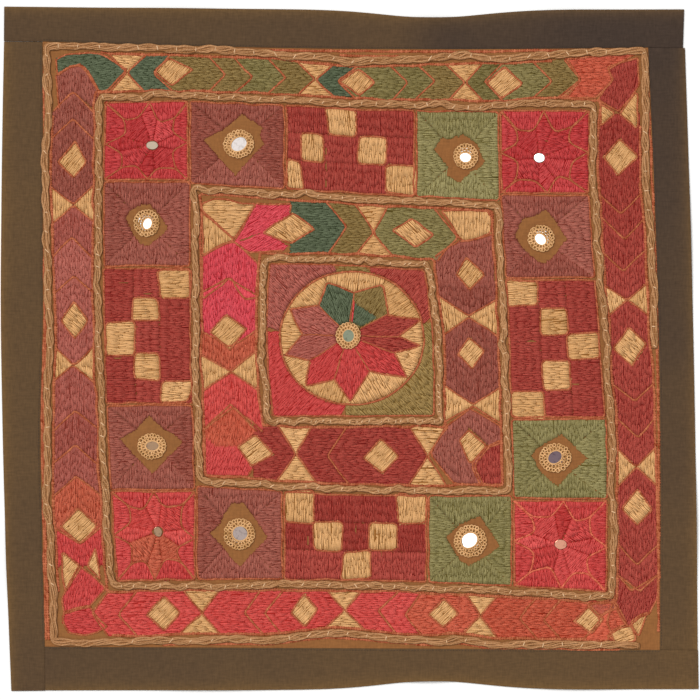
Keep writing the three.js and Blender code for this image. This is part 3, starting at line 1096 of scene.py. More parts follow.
    def run_row(self, patch: Patch, tone: float, axes: tuple, level: float, start: float, end: float) -> None:
        """Lays one row of a patch, broken where the thread dips through the cloth.

        Args:
            patch: The patch.
            tone: The patch's own tint.
            axes: The directions along and across the stitches.
            level: The row's place across the stitches.
            start: Where the row starts along the stitches.
            end: Where it ends.
        """
        rows = self.rows[patch.thread, Stitch.FIELD]
        count = max(1, math.ceil((end - start) / patch.longest * self.random.uniform(0.8, 1.2)))
        marks = np.linspace(start, end, count + 1)
        marks[1:-1] += self.random.normal(0, self.break_stray, count - 1) * (end - start) / count
        ahead, aside = axes
        for first, last in zip(marks, marks[1:]):
            if last - first < self.shortest_stitch or self.random.random() < patch.loose:
                continue
            lean = self.random.normal(0, self.lean, 2) * patch.spacing
            # A dot trims the stitch back so that the painted shade of the under thread shows.
            trim = self.dot_trim if self.random.random() < self.dots else self.trim
            begin = ahead * (first + trim) + aside * (level + lean[0])
            finish = ahead * (last - trim) + aside * (level + lean[1])
            width = patch.spacing * self.random.uniform(1.1, 1.4)
            rise = self.rise * self.random.uniform(0.8, 1.2)
            tint = tone + self.random.normal(0, self.shades)
            rows.append((*begin, *finish, self.foot, width, rise, max(tint, 0.0), self.taper))

    def cream(self, loop: Points, angle: float, holes: Sequence[Points] = ()) -> None:
        """Fills a loop with cream, in longer stitches than the coloured fields and worn by chance."""
        worn = float(self.random.choice((0.0, 0.0, 0.015, 0.04)))
        self.fill(Patch(loop, CREAM, angle, holes, spacing=1.15, longest=16.0, loose=worn, ticks=0.45))

    def part(self, start: Points, end: Points, thread: Thread) -> None:
        """Marks the gap between two fields of a thread with dark ticks of painted shade.

        Args:
            start: Where the gap starts.
            end: Where it ends.
            thread: The thread of the fields.
        """
        rows = self.rows.setdefault((thread, Stitch.FIELD), [])
        count = max(2, round(float(np.linalg.norm(end - start)) / self.part_step))
        rise = self.part_rise * self.rise
        for share in (np.arange(count) + 0.5) / count:
            middle = start + (end - start) * share
            reach = (end - start) * self.random.uniform(0.3, 0.5) / count
            ends = (*(middle - reach), *(middle + reach))
            # Each part is a dark strip of painted shade.
            rows.append((*ends, self.foot, self.part_width, rise, self.part_shade_tint, self.tick_taper))

    def line(
        self,
        points: Points,
        closed: bool = False,
        thread: Thread = RUST,
        width: float = 0.0,
        wander: float | None = None,
    ) -> None:
        """Works slanting stitches, each beginning beside the one before, along an unsteady line.

        Args:
            points: The line's points.
            closed: Whether the line returns to its start.
            thread: The thread.
            width: The width of a stitch, or 0 for the usual one.
            wander: How far the line strays, or None for the usual distance.
        """
        width = width or self.line_width
        wander = self.line_wander if wander is None else wander
        route = np.concatenate((points, points[:1])) if closed else points
        lengths = travelled(route)
        total = float(lengths[-1])
        knots = np.linspace(0, total, max(4, round(total / self.wander_step)))
        strays = self.random.normal(0, wander, len(knots))
        count = max(1, round(total / self.line_step))
        rows = self.rows.setdefault((thread, Stitch.LINE), [])
        for middle in (np.arange(count) + 0.5) * total / count:
            reach = self.line_reach * self.random.uniform(0.85, 1.15) / 2
            marks = np.clip((middle - reach, middle + reach), 0, total)
            begin, finish = np.column_stack([np.interp(marks, lengths, route[:, axis]) for axis in (0, 1)])
            ahead = (finish - begin) / max(float(np.linalg.norm(finish - begin)), 0.01)
            aside = left_of(ahead)
            slant = aside * (self.line_slant + self.random.normal(0, 0.15))
            strayed = aside * np.interp(marks, knots, strays)[:, None]
            ends = (*(begin - slant + strayed[0]), *(finish + slant + strayed[1]))
            breadth = width * self.random.uniform(0.75, 1.3)
            rise = self.line_rise * self.random.uniform(0.85, 1.15)
            tint = 0.5 + self.random.normal(0, self.line_shades)
            rows.append((*ends, self.foot + self.line_lift, breadth, rise, tint, self.line_taper))

    def lay(self, rows: Points, stitch: Stitch, name: str) -> Mesh:
        """Makes a mesh of stitches as three-sided threads.

        Args:
            rows: The stitches.
            stitch: The kind of stitch.
            name: The mesh's name.

        Returns:
            The mesh.
        """
        share, height = np.array(stitch.value).T
        start, end = rows[:, 0:2], rows[:, 2:4]
        length = np.maximum(np.linalg.norm(end - start, axis=1), 0.01)
        aside = left_of((end - start) / length[:, None])
        middle = start[:, None] + (end - start)[:, None] * share[None, :, None]
        half = 0.5 * rows[:, 5:6] * (1 - (1 - rows[:, 8:9]) * np.abs(2 * share - 1))
        top = rows[:, 6:7] * height
        points = np.zeros((len(rows), len(share), 3, 3))
        points[:, :, 0, :2] = middle - aside[:, None] * half[..., None]
        points[:, :, 1, :2] = middle
        points[:, :, 2, :2] = middle + aside[:, None] * half[..., None]
        points[:, :, 0, 2] = points[:, :, 2, 2] = rows[:, 4:5] + self.edge_rise * top
        points[:, :, 1, 2] = rows[:, 4:5] + top
        numbers = np.arange(len(rows))[:, None]
        places = np.zeros((len(rows), len(share), 3, 2))
        places[..., 0] = (length[:, None] * share + 17.0 * numbers % 400)[..., None]
        places[..., 1] = np.array((0.0, 0.5, 1.0))
        faces = Skein.skin(len(share), 3, False)[None] + 3 * len(share) * numbers[..., None]
        tints = np.repeat(rows[:, 7], 3 * len(share))
        skein = Skein()
        skein.add(points.reshape(-1, 3), faces.reshape(-1, 3), places.reshape(-1, 2), tints)
        return skein.mesh(name, self.ridge)

    def finish(self, workshop: Workshop) -> None:
        """Makes the pieces of stitching, one or more for each thread and kind of stitch.

        Args:
            workshop: Where pieces are made.
        """
        for (thread, stitch), rows in self.rows.items():
            parts = np.array_split(np.array(rows), math.ceil(len(rows) / self.most_stitches))
            for number, part in enumerate(parts, start=1):
                mesh = self.lay(part, stitch, f"{stitch.name.lower()}_{thread.value.name}_{number}")
                workshop.place(mesh, workshop.materials[thread], "ground_cloth")


class Motif(Enum):
    """The motifs that follow one another along a band; an open end of a field has no line of its own."""

    HOURGLASS = "hourglass"
    DIAMOND = "diamond"
    CHEVRON = "chevron"
    OPEN = "open"


@dataclass(frozen=True)
class Row:
    """One row of a band's chart: the motif, its place along the side, and the thread of the field after it.

    The arms of a chevron lie behind its point by the bend, which is negative where they lie ahead. Shapes are
    the outlines of a motif's cream parts where they stray from the usual ones.
    """

    motif: Motif
    place: float
    thread: Thread | None = None
    bend: float = 0.0
    shapes: tuple[Shape, ...] = ()


@dataclass(frozen=True)
class Piece:
    """A field with its own outline, where two bands meet at a corner.

    Joined are the numbers of the corners whose next edge has no line. Slits are gaps that stay bare.
    """

    thread: Thread
    angle: float
    corners: Shape
    joined: tuple[int, ...] = ()
    slits: tuple[Shape, ...] = ()


@dataclass
class StitchedBand:
    """A band of fields parted by chevrons, with cream hourglasses and diamonds.

    Diamonds gives the half-length of a side's diamonds along it and their half-breadth as a share of the
    band. Strays are how far the corners of motifs move along the side, and margins how far the corner
    fields grow.
    """

    needle: Needle
    band: Band
    charts: dict[Side, tuple[Row, ...]]
    pieces: tuple[Piece, ...]
    diamonds: dict[Side, tuple[float, float]]
    hourglass_half: float = 20.0
    stray: float = 1.4
    hourglass_stray: float = 1.6
    cream_margin: float = 0.7
    margin: float = 1.4

    def build(self) -> None:
        """Works the cream shapes, then the fields of the four sides round them, then the corners."""
        marks: list[Points] = []
        for side, rows in self.charts.items():
            for row in rows:
                marks += self.work_shapes(side, row)
        for side, rows in self.charts.items():
            self.work_side(side, rows, marks)
        for piece in self.pieces:
            self.work_piece(piece, marks)

    def work_shapes(self, side: Side, row: Row) -> list[Points]:
        """Works a diamond, or the parts of a motif that have their own shapes.

        Args:
            side: The side of the band.
            row: The motif.

        Returns:
            The outlines of what was worked.
        """
        if row.shapes:
            loops = [np.array(shape, float) for shape in row.shapes]
        elif row.motif is Motif.DIAMOND:
            at, (half, breadth) = row.place, self.diamonds[side]
            tips = [(at - half, 0.5), (at, 0.5 - breadth), (at + half, 0.5), (at, 0.5 + breadth)]
            loops = [self.band.path(side, self.needle.unsteady(tips, self.stray, 0.025), closed=True)]
        else:
            return []
        for loop in loops:
            slope = self.needle.random.choice((-1, 1)) * self.needle.random.uniform(34, 52)
            self.needle.cream(loop, side.along + slope)
            self.needle.line(loop, closed=True)
        return loops

    def work_side(self, side: Side, rows: Sequence[Row], marks: Sequence[Points]) -> None:
        """Works the fields and motifs of one side in the order of its chart.

        Args:
            side: The side.
            rows: Its chart.
            marks: The cream shapes of the band, which the fields leave free.
        """
        onward = math.copysign(1.0, rows[-1].place - rows[0].place)
        cut: list[tuple[float, float]] = []
        thread: Thread | None = None
        for row in rows:
            if row.motif is Motif.DIAMOND:
                continue
            near, far = self.cuts(row, onward)
            if thread is not None:
                loop = self.band.path(side, cut + near[::-1], closed=True)
                self.needle.fill(Patch(loop, thread, side.along, marks))
            if row.motif is Motif.CHEVRON:
                self.needle.line(self.band.path(side, near, closed=False))
            if row.motif is Motif.HOURGLASS and not row.shapes:
                self.work_hourglass(side, near, far)
            cut, thread = far, row.thread

    def cuts(self, row: Row, onward: float) -> tuple[list, list]:
        """The lines that end the field before a motif and start the field after it.

        Args:
            row: The motif.
            onward: 1 or -1, the direction of the chart along the side.

        Returns:
            The two lines, as places and shares across from the outer edge in.
        """
        needle = self.needle
        if row.motif is Motif.OPEN or row.shapes:
            cut = [(row.place, 0.0), (row.place, 1.0)]
            return cut, cut
        if row.motif is Motif.CHEVRON:
            arms = row.place - row.bend
            cut = needle.unsteady([(arms, 0.0), (row.place, 0.5), (arms, 1.0)], self.stray, 0.0)
            cut[1] = (cut[1][0], 0.5 + needle.random.normal(0, 0.03))
            return cut, cut
        waist = (row.place, 0.5 + needle.random.normal(0, 0.02))
        cuts = []
        for way in (-onward, onward):
            end = row.place + way * self.hourglass_half
            ends = needle.unsteady([(end, 0.0), (end, 1.0)], self.hourglass_stray, 0.0)
            cuts.append([ends[0], waist, ends[1]])
        return cuts[0], cuts[1]

    def work_hourglass(self, side: Side, near: list, far: list) -> None:
        """Works the two cream triangles between two crossing lines.

        Args:
            side: The side of the band.
            near: The line before the hourglass.
            far: The line after it.
        """
        for end in (0, 2):
            loop = self.band.path(side, [near[end], near[1], far[end]], closed=True)
            self.needle.cream(loop, side.along + self.needle.random.normal(0, 6))
        for cut in (near, far):
            self.needle.line(self.band.path(side, cut, closed=False))

    def work_piece(self, piece: Piece, marks: Sequence[Points]) -> None:
        """Works a corner field and the lines round it.

        Args:
            piece: The field.
            marks: The cream shapes of the band, which it leaves free.
        """
        cream = piece.thread is CREAM
        loop = grown(np.array(piece.corners, float), self.cream_margin if cream else self.margin)
        holes = [*marks, *(np.array(slit, float) for slit in piece.slits)]
        if cream:
            self.needle.cream(loop, piece.angle, holes)
        else:
            self.needle.fill(Patch(loop, piece.thread, piece.angle, holes))
        if not piece.joined:
            self.needle.line(loop, closed=True)
            return
        for number, (here, there) in enumerate(zip(loop, np.roll(loop, -1, axis=0))):
            if number not in piece.joined:
                self.needle.line(np.array((here, there)))


TOP, RIGHT, BOTTOM, LEFT = Side
H, D, C, N = Motif.HOURGLASS, Motif.DIAMOND, Motif.CHEVRON, Motif.OPEN
ARM = 20.0

OUTER_DIAMONDS = {TOP: (20.0, 0.4), RIGHT: (21.0, 0.41), BOTTOM: (16.5, 0.38), LEFT: (20.0, 0.355)}
OUTER_CHARTS = {
    TOP: (
        Row(H, -239, TEAL), Row(C, -212, OLIVE, -ARM),
        Row(D, -191, shapes=(((-210, 299), (-194, 312), (-168, 300), (-191.5, 283)),)),
        Row(C, -132, OLIVE, ARM), Row(C, -105, SAGE, ARM), Row(C, -70, OLIVE, ARM), Row(H, -36, TEAL),
        Row(C, -12, SAGE, -ARM), Row(D, 9), Row(C, 63, SAGE, ARM), Row(C, 91, OLIVE, ARM),
        Row(H, 125, SAGE), Row(C, 144, SAGE, -ARM), Row(D, 165), Row(C, 218, OLIVE, ARM),
        Row(C, 252, None, ARM),
    ),
    RIGHT: (
        Row(H, 253, MAROON, shapes=(
            ((270, 263.5), (285, 253), (270, 239)), ((291.5, 253), (308, 276.5), (311, 273), (309, 236.5)),
        )),
        Row(D, 206), Row(C, 148, MAROON, -ARM), Row(C, 119, MAROON, -ARM), Row(C, 84, MAROON, -ARM),
        Row(H, 52, MAROON), Row(D, 2), Row(C, -58, MAROON, -ARM), Row(C, -96, MAROON, -ARM),
        Row(H, -127, MAROON), Row(D, -172), Row(C, -231, MAROON, -ARM), Row(C, -262, None, -ARM),
    ),
    BOTTOM: (
        Row(C, -279, ROSE, -ARM), Row(C, -249, ROSE, -ARM), Row(D, -200), Row(H, -159, ROSE),
        Row(C, -114, ROSE, -ARM), Row(C, -91, ROSE, -ARM), Row(D, -48), Row(H, -5, ROSE),
        Row(C, 31, ROSE, -ARM), Row(C, 57, CORAL, -ARM), Row(D, 101), Row(H, 141, CORAL),
        Row(C, 181, CORAL, -ARM), Row(C, 209, CORAL, -ARM), Row(D, 259), Row(C, 278, None, -6),
    ),
    LEFT: (
        Row(C, 276, MAUVE, ARM), Row(C, 247, MAUVE, ARM), Row(D, 202), Row(H, 154, LILAC),
        Row(C, 117, LILAC, ARM), Row(C, 80, LILAC, ARM), Row(D, 31), Row(H, -18, LILAC),
        Row(C, -67, LILAC, ARM), Row(C, -105, LILAC, ARM), Row(C, -137, BRICK, ARM), Row(D, -190),
        Row(C, -209, SCARLET, -18),
        Row(H, -234, None, shapes=(
            ((-309, -220), (-290.5, -233.5), (-301.5, -250.5), (-306, -262.5), (-309, -243)),
            ((-273.5, -215), (-269, -235.5), (-268, -249.5), (-282, -234.5)),
        )),
    ),
}

OUTER_PIECES = (
    Piece(TEAL, 8, (
        (-314, 311), (-305.5, 314.5), (-280, 317.5), (-268, 315.5), (-241, 299.5), (-261.5, 278.5),
        (-270, 278.5), (-280, 297), (-289.5, 306.5), (-301.5, 303.5), (-313, 296),
    )),
    Piece(MAUVE, 90, (
        (-314, 293.5), (-301.5, 301.5), (-289.5, 304), (-283, 299), (-271, 276.5), (-272, 257),
        (-293.5, 275.5), (-312, 259.5),
    ), joined=(5, 6)),
    Piece(CORAL, 0, (
        (233.5, 310), (265, 313), (309, 317.5), (277.5, 300.5), (283, 289.5), (263.5, 271), (224, 270),
        (250.5, 289.5),
    )),
    Piece(MAROON, 80, (
        (280, 302), (309, 311), (310, 284), (299, 268), (289.5, 256), (269, 268), (284, 287.5),
    )),
    Piece(MAROON, 75, (
        (287, -243), (302.5, -263), (330, -246), (330, -268), (321.5, -284.5), (312, -287), (300, -298),
        (293.5, -289), (287, -275.5),
    )),
    Piece(MAUVE, 60, ((258, -277.5), (282, -271), (288.5, -278.5), (275.5, -283), (269, -288.5))),
    Piece(CORAL, 0, (
        (272, -292.5), (269, -289.5), (276.5, -284), (288.5, -280), (297, -296), (282, -302.5),
        (276.5, -307.5), (277.5, -313), (253, -313),
    )),
    Piece(CREAM, 20, (
        (279.5, -308.5), (292, -301.5), (303, -299), (308, -312.5), (305, -315), (287, -315.5),
    )),
    Piece(CREAM, 60, (
        (303.5, -294), (312, -287.5), (320.5, -284), (316.5, -297), (311, -309), (304.5, -299),
    )),
    Piece(SCARLET, 80, (
        (-287.5, -236.5), (-263.5, -258), (-281, -277.5), (-305.5, -283), (-307.5, -268), (-303.5, -259.5),
    )),
    Piece(SCARLET, 0, (
        (-305.5, -284), (-281, -278.5), (-271, -291.5), (-262.5, -299), (-272, -304.5), (-285, -307.5),
        (-301.5, -304.5), (-307.5, -294),
    )),
)

INNER_DIAMONDS = {TOP: (24.0, 0.32), RIGHT: (17.5, 0.28), BOTTOM: (19.5, 0.32), LEFT: (20.0, 0.32)}
INNER_CHARTS = {
    TOP: (
        Row(N, -64, TEAL), Row(D, -62, shapes=(((-92.5, 125), (-61.5, 146.5), (-37, 128), (-62.5, 113)),)),
        Row(C, -4, OLIVE, ARM), Row(H, 26, SAGE),
        Row(D, 68, shapes=(((46.5, 127), (66.5, 140), (91, 122.5), (71, 108.5)),)), Row(C, 118, None, 26),
    ),
    RIGHT: (
        Row(N, 73, MAUVE), Row(D, 82, shapes=(((115, 80.5), (125.5, 98), (145.5, 79.5), (129, 62.5)),)),
        Row(H, 34, MAUVE), Row(D, -3), Row(H, -61, None),
    ),
    BOTTOM: (
        Row(N, -103, MAROON),
        Row(D, -101, shapes=(((-120.5, -105.5), (-101, -92.5), (-81, -114), (-105.5, -127)),)),
        Row(H, -57, MAROON), Row(C, -22, MAROON, -ARM), Row(D, 34), Row(H, 84, None),
    ),
    LEFT: (
        Row(C, 77, PINK, ARM), Row(D, 20), Row(C, 1, BRICK, -18), Row(H, -25, ROSE), Row(C, -62, None, 27),
    ),
}

INNER_PIECES = (
    Piece(CREAM, 0, (
        (-158, 156), (-145.5, 160), (-113, 156), (-102, 155), (-110, 141), (-125, 119.5), (-148.5, 140.5),
        (-158, 148.5),
    )),
    Piece(CREAM, 90, ((-158, 144), (-149.5, 137.5), (-125, 117.5), (-137.5, 112), (-157, 101))),
    Piece(PINK, 30, (
        (-100, 154), (-64.5, 154), (-64.5, 146.5), (-91.5, 126), (-69, 110), (-72, 106.5), (-107.5, 104.5),
        (-122.5, 115),
    ), joined=(2, 3, 4), slits=(
        ((-118.5, 116.5), (-105.5, 121.5), (-93.5, 125), (-105.5, 119.5), (-117.5, 115)),
    )),
    Piece(PINK, 90, (
        (-157, 98), (-137.5, 110), (-123.5, 114), (-99, 89.5), (-100, 56), (-112, 54), (-128, 77.5),
        (-157, 55),
    )),
    Piece(CREAM, 90, (
        (100, 147.5), (147.5, 148), (153, 139), (151.5, 125), (126, 116), (119.5, 118.5), (110, 135.5),
    )),
    Piece(MAUVE, 90, (
        (93.5, 98), (104.5, 106.5), (119.5, 114), (137.5, 116), (154, 121.5), (154, 72), (94.5, 72),
    ), joined=(4, 5, 6)),
    Piece(MAUVE, 90, (
        (129, -66.5), (161.5, -85), (161.5, -101), (149.5, -105.5), (134.5, -122.5), (134.5, -130),
        (141, -145.5), (113, -144), (89.5, -114), (103.5, -87),
    ), slits=(((118, -99), (129, -85), (150, -104.5), (130, -123.5)),)),
    Piece(MAROON, 90, (
        (149.5, -105.5), (161.5, -101), (163.5, -125), (163.5, -145.5), (142, -145.5), (134.5, -130),
        (134.5, -122.5),
    )),
    Piece(CREAM, 45, ((119, -99), (128.5, -88), (137, -97), (147, -105), (130, -122.5))),
    Piece(CORAL, 80, (
        (-128, -61.5), (-102, -89.5), (-120.5, -104.5), (-144, -104.5), (-155, -95), (-155, -87),
    ), joined=(1, 2, 3)),
    Piece(SCARLET, 70, (
        (-155, -96.5), (-144, -106), (-120.5, -106), (-105.5, -129), (-110, -136.5), (-154, -135.5),
    ), joined=(0, 1, 2)),
)

# Where the blocks of the block ring meet at its corners, clockwise from the top left, and the shares of each
# side where its first mirror block, its checks and its second mirror block start and end.
BLOCK_CORNERS = ((-172.7, 180.2), (161.9, 166.2), (175.9, -162.5), (-165.2, -152.8))
BLOCK_MARKS = {
    TOP: (0.0, 0.31, 0.728, 1.0),
    RIGHT: (0.0, 0.278, 0.734, 1.0),
    BOTTOM: (0.0, 0.27, 0.724, 1.0),
    LEFT: (0.0, 0.278, 0.722, 1.0),
}


@dataclass(frozen=True)
class MirrorBlock:
    """A block with a mirror in a bare window: its side, its number along it, its thread and its window."""

    side: Side
    number: int
    thread: Thread
    window: Shape


@dataclass(frozen=True)
class CheckBlock:
    """A block of stepped checks: its side, and the shares of the block where its columns and rows part."""

    side: Side
    columns: tuple[float, float, float, float]
    rows: tuple[float, float]


@dataclass(frozen=True)
class FlowerBlock:
    """A corner block with a flower round a small mirror: its name, side, threads and line width."""

    name: str
    side: Side
    petals: Thread
    scallops: Thread
    lower: Thread
    line: Thread
    width: float


MIRROR_BLOCKS = (
    MirrorBlock(TOP, 0, MAUVE, (
        (-157, 225), (-137.5, 234.5), (-116, 252.5), (-93.5, 238), (-96, 229), (-92, 219.5), (-107.5, 203.5),
        (-122.5, 186), (-144, 208.5),
    )),
    MirrorBlock(TOP, 2, GREEN, (
        (90.5, 214), (98.5, 227), (109, 226), (122, 231), (137.5, 220), (145.5, 201), (142, 195),
        (130.5, 190), (118.5, 178), (104.5, 186), (105, 196),
    )),
    MirrorBlock(RIGHT, 0, MAUVE, (
        (177.5, 121.5), (186, 139.5), (199.5, 143), (211.5, 150), (222, 137.5), (234, 118), (218.5, 97.5),
        (210, 91.5), (202.5, 93.5), (186, 108),
    )),
    MirrorBlock(RIGHT, 2, GREEN, (
        (195, -114.5), (205, -105), (228.5, -91.5), (245.5, -108.5), (256.5, -118.5), (237.5, -134),
        (225, -148), (217.5, -144.5), (205.5, -133),
    )),
    MirrorBlock(BOTTOM, 0, GREEN, (
        (103.5, -202.5), (119, -188.5), (140, -180), (155, -200.5), (162, -213), (143.5, -226.5), (129, -234),
        (118.5, -228), (111.5, -216.5),
    )),
    MirrorBlock(BOTTOM, 2, MAUVE, (
        (-150.5, -199), (-140.5, -190), (-135, -178), (-126.5, -166), (-113.5, -166), (-99.5, -186),
        (-88, -203.5), (-105.5, -221.5), (-117.5, -234.5), (-126.5, -227), (-137, -213),
    )),
    MirrorBlock(LEFT, 0, MAUVE, (
        (-247.5, -97), (-231, -88), (-215.5, -72), (-199.5, -87), (-189.5, -91.5), (-179.5, -101.5),
        (-195.5, -117.5), (-212, -135), (-230.5, -116.5),
    )),
    MirrorBlock(LEFT, 2, MAUVE, (
        (-241, 139.5), (-236.5, 148.5), (-225, 154.5), (-214, 155), (-203.5, 143), (-196, 130.5),
        (-197.5, 125.5), (-216.5, 110), (-225.5, 112.5), (-233, 123.5),
    )),
)


@dataclass
class BlockRing:
    """The ring of blocks: mirror blocks in four mitred sections, stepped checks, and flowers at the corners.

    A flower's lines part at the fork, a share of the way from a corner to the middle, and have their shoulder
    at a share of the way from the middle of a side to a corner. Its lower petals are those whose middle lies
    that far below the mirror's.
    """

    needle: Needle
    band: Band = Band(CORD_OUTER, CORD_MIDDLE_RING, CHANNEL + 0.3)
    checks: tuple[CheckBlock, ...] = (
        CheckBlock(TOP, (0.13, 0.3, 0.555, 0.78), (0.32, 0.65)),
        CheckBlock(RIGHT, (0.2, 0.39, 0.58, 0.8), (0.34, 0.65)),
        CheckBlock(BOTTOM, (0.21, 0.4, 0.6, 0.8), (0.34, 0.67)),
        CheckBlock(LEFT, (0.17, 0.36, 0.61, 0.785), (0.345, 0.64)),
    )
    flowers: tuple[FlowerBlock, ...] = (
        FlowerBlock("corner_top_left", TOP, CRIMSON, CRIMSON, CRIMSON, RUST, 1.2),
        FlowerBlock("corner_top_right", RIGHT, CRIMSON, CRIMSON, CRIMSON, RUST, 1.7),
        FlowerBlock("corner_bottom_right", BOTTOM, SCARLET, SCARLET, SCARLET, BRICK, 1.8),
        FlowerBlock("corner_bottom_left", LEFT, ROSE, SCARLET, BRICK, RUST, 1.5),
    )
    wear: int = 4
    slit_half: tuple[float, float] = (5.5, 1.0)
    rounding: float = 0.08
    check_line: float = 1.7
    fork: float = 0.37
    shoulder: float = 0.24
    scallop_depth: float = 0.42
    below: float = 12.0
    petal_contrast: float = 0.13

    def build(self) -> None:
        """Works every block."""
        for block in MIRROR_BLOCKS:
            self.work_mirror_block(block)
        for block in self.checks:
            self.work_checks(block)
        for block in self.flowers:
            self.work_flower(block)

    @staticmethod
    def places(side: Side, number: int) -> tuple[float, float]:
        """Where a block lies along its side, inside the grooves that part the blocks.

        Args:
            side: The side.
            number: The block's number along it.

        Returns:
            The places where it starts and ends.
        """
        first, last = BLOCK_CORNERS[side.value][side.axis], BLOCK_CORNERS[(side.value + 1) % 4][side.axis]
        groove = math.copysign(BLOCK_GROOVE / 2, last - first)
        start, end = BLOCK_MARKS[side][number : number + 2]
        return first + (last - first) * start + groove, first + (last - first) * end - groove

    def work_mirror_block(self, block: MirrorBlock) -> None:
        """Works a block in four sections whose stitches run from the block's edges to the window.

        Args:
            block: The block.
        """
        first, last = self.places(block.side, block.number)
        knots = [(first, 0.0), (last, 0.0), (last, 1.0), (first, 1.0)]
        window = np.array(block.window)
        centre = window.mean(axis=0)
        for here, there in zip(knots, knots[1:] + knots[:1]):
            edge = self.band.path(block.side, [here, there], closed=False)
            loop = np.concatenate((edge, centre[None]))
            self.needle.fill(Patch(loop, block.thread, heading(edge[-1] - edge[0]) + 90, [window]))
        self.needle.line(self.band.path(block.side, knots, closed=True), closed=True)

    def work_checks(self, block: CheckBlock) -> None:
        """Works a block of stepped checks: cream squares in a V that points outward on a worn maroon ground.

        Args:
            block: The block.
        """
        needle, side = self.needle, block.side
        first, last = self.places(side, 1)
        columns = first + (last - first) * np.array((0, *block.columns, 1))
        rows = (0.0, *block.rows, 1.0)
        across = side.along + 90
        squares = []
        for column, (here, there) in enumerate(zip(columns, columns[1:])):
            row = abs(column - len(columns) // 2 + 1)
            top, foot = rows[row], rows[row + 1]
            corners = needle.unsteady([(here, top), (there, top), (there, foot), (here, foot)], 1.5, 0.016)
            squares.append(self.round_off(self.band.path(side, corners, closed=True, step=90.0)))
        slits = []
        for along, share in needle.random.uniform(0.08, 0.92, (self.wear, 2)):
            slits.append(self.slit(self.band.point(side, first + (last - first) * along, share), across))
        for top, foot in zip(rows, rows[1:]):
            strip = [(first, top), (last, top), (last, foot), (first, foot)]
            loop = self.band.path(side, strip, closed=True)
            needle.fill(Patch(loop, MAROON, across, [*squares, *slits]))
        for square in squares:
            needle.cream(square, across + needle.random.normal(0, 4))
            needle.line(square, closed=True, width=self.check_line)
        edge = [(first, 0.0), (last, 0.0), (last, 1.0), (first, 1.0)]
        needle.line(self.band.path(side, edge, closed=True), closed=True)

    def slit(self, centre: Points, angle: float) -> Points:
        """A narrow worn place along the stitches.

        Args:
            centre: Its middle.
            angle: The direction of the stitches.

        Returns:
            A closed loop.
        """
        turn = math.radians(angle)
        axes = np.array(((math.cos(turn), math.sin(turn)), (-math.sin(turn), math.cos(turn))))
        return centre + ellipse((0, 0), *self.slit_half, 10) @ axes

    def round_off(self, corners: Points) -> Points:
        """A loop with its corners cut, by a share of each edge.

        Args:
            corners: The loop.

        Returns:
            The loop with two points for each corner.
        """
        points = []
        for before, here, after in zip(np.roll(corners, 1, axis=0), corners, np.roll(corners, -1, axis=0)):
            points += [here + (before - here) * self.rounding, here + (after - here) * self.rounding]
        return np.array(points)

    def work_flower(self, block: FlowerBlock) -> None:
        """Works a corner block: eight scallops along its edges and eight petals round the mirror.

        Args:
            block: The block.
        """
        needle, side, before = self.needle, block.side, block.side.before
        inward = side.inward + before.inward
        corner = np.array(CORD_OUTER.corners[side.value]) + inward * self.band.edge
        tip = np.array(BLOCK_CORNERS[side.value]) - inward * BLOCK_GROOVE / 2
        corners = [
            corner,
            CORD_OUTER.side_at(side, tip[side.axis], self.band.edge),
            tip,
            CORD_OUTER.side_at(before, tip[before.axis], self.band.edge),
        ]
        middles = []
        for here, there in zip(corners, corners[1:] + corners[:1]):
            middles.append(here + (there - here) * needle.random.uniform(0.46, 0.54))
        centre = middle_of(f"mirror_{block.name}")
        window = ellipse(centre, SMALL_WINDOW - 1.4, SMALL_WINDOW - 2.2)
        ahead, behind = [], []
        for number, here in enumerate(corners):
            fork = here + (centre - here) * self.fork * needle.random.uniform(0.88, 1.12)
            ahead.append(self.scallop(here, fork, middles[number], centre))
            behind.append(self.scallop(here, fork, middles[number - 1], centre))
        for scallop in ahead + behind:
            needle.fill(Patch(scallop, block.scallops, heading(scallop[-1] - scallop[0]) + 90))
        for number in range(len(corners)):
            corner_edge = np.concatenate((behind[number][-2::-1], ahead[number][1:-1]))
            middle_edge = np.concatenate((ahead[number][-2:], behind[(number + 1) % len(corners)][-2:-1]))
            for edge in (corner_edge, middle_edge):
                outward = edge.mean(axis=0) - centre
                thread = block.lower if outward[1] < -self.below else block.petals
                across = heading(outward) + 90 + needle.random.normal(0, 12)
                petal = np.concatenate((edge, [centre]))
                needle.fill(Patch(petal, thread, across, [window], contrast=self.petal_contrast))
                needle.part(centre + 0.25 * (edge[-1] - centre), edge[-1], thread)
        for scallop in ahead + behind:
            needle.line(scallop, thread=block.line, width=block.width)
        needle.line(np.array(corners), closed=True)

    def scallop(self, corner: Points, fork: Points, middle: Points, centre: Points) -> Points:
        """A flat-topped line from a corner of a block to the middle of a side.

        Args:
            corner: The corner.
            fork: Where it parts from the line to the other side.
            middle: The middle of the side.
            centre: The middle of the block.

        Returns:
            One x, y row for each point.
        """
        along = unit(corner - middle)
        inward = centre - middle
        depth = self.needle.random.uniform(0.8, 1.2)
        inward = (inward - along * (inward @ along)) * self.scallop_depth * depth
        shoulder = middle + self.shoulder * (corner - middle) + inward
        top = (fork + shoulder) / 2
        return np.array((
            corner,
            fork + 0.15 * (corner - fork),
            fork + 0.25 * (top - fork),
            top,
            shoulder + 0.25 * (top - shoulder),
            shoulder + 0.2 * (middle - shoulder),
            middle,
        ))


@dataclass(frozen=True)
class StarPoint:
    """One point of the star in the centre: its tip, the notch after it, clockwise, and its thread."""

    tip: tuple[float, float]
    notch: tuple[float, float]
    thread: Thread


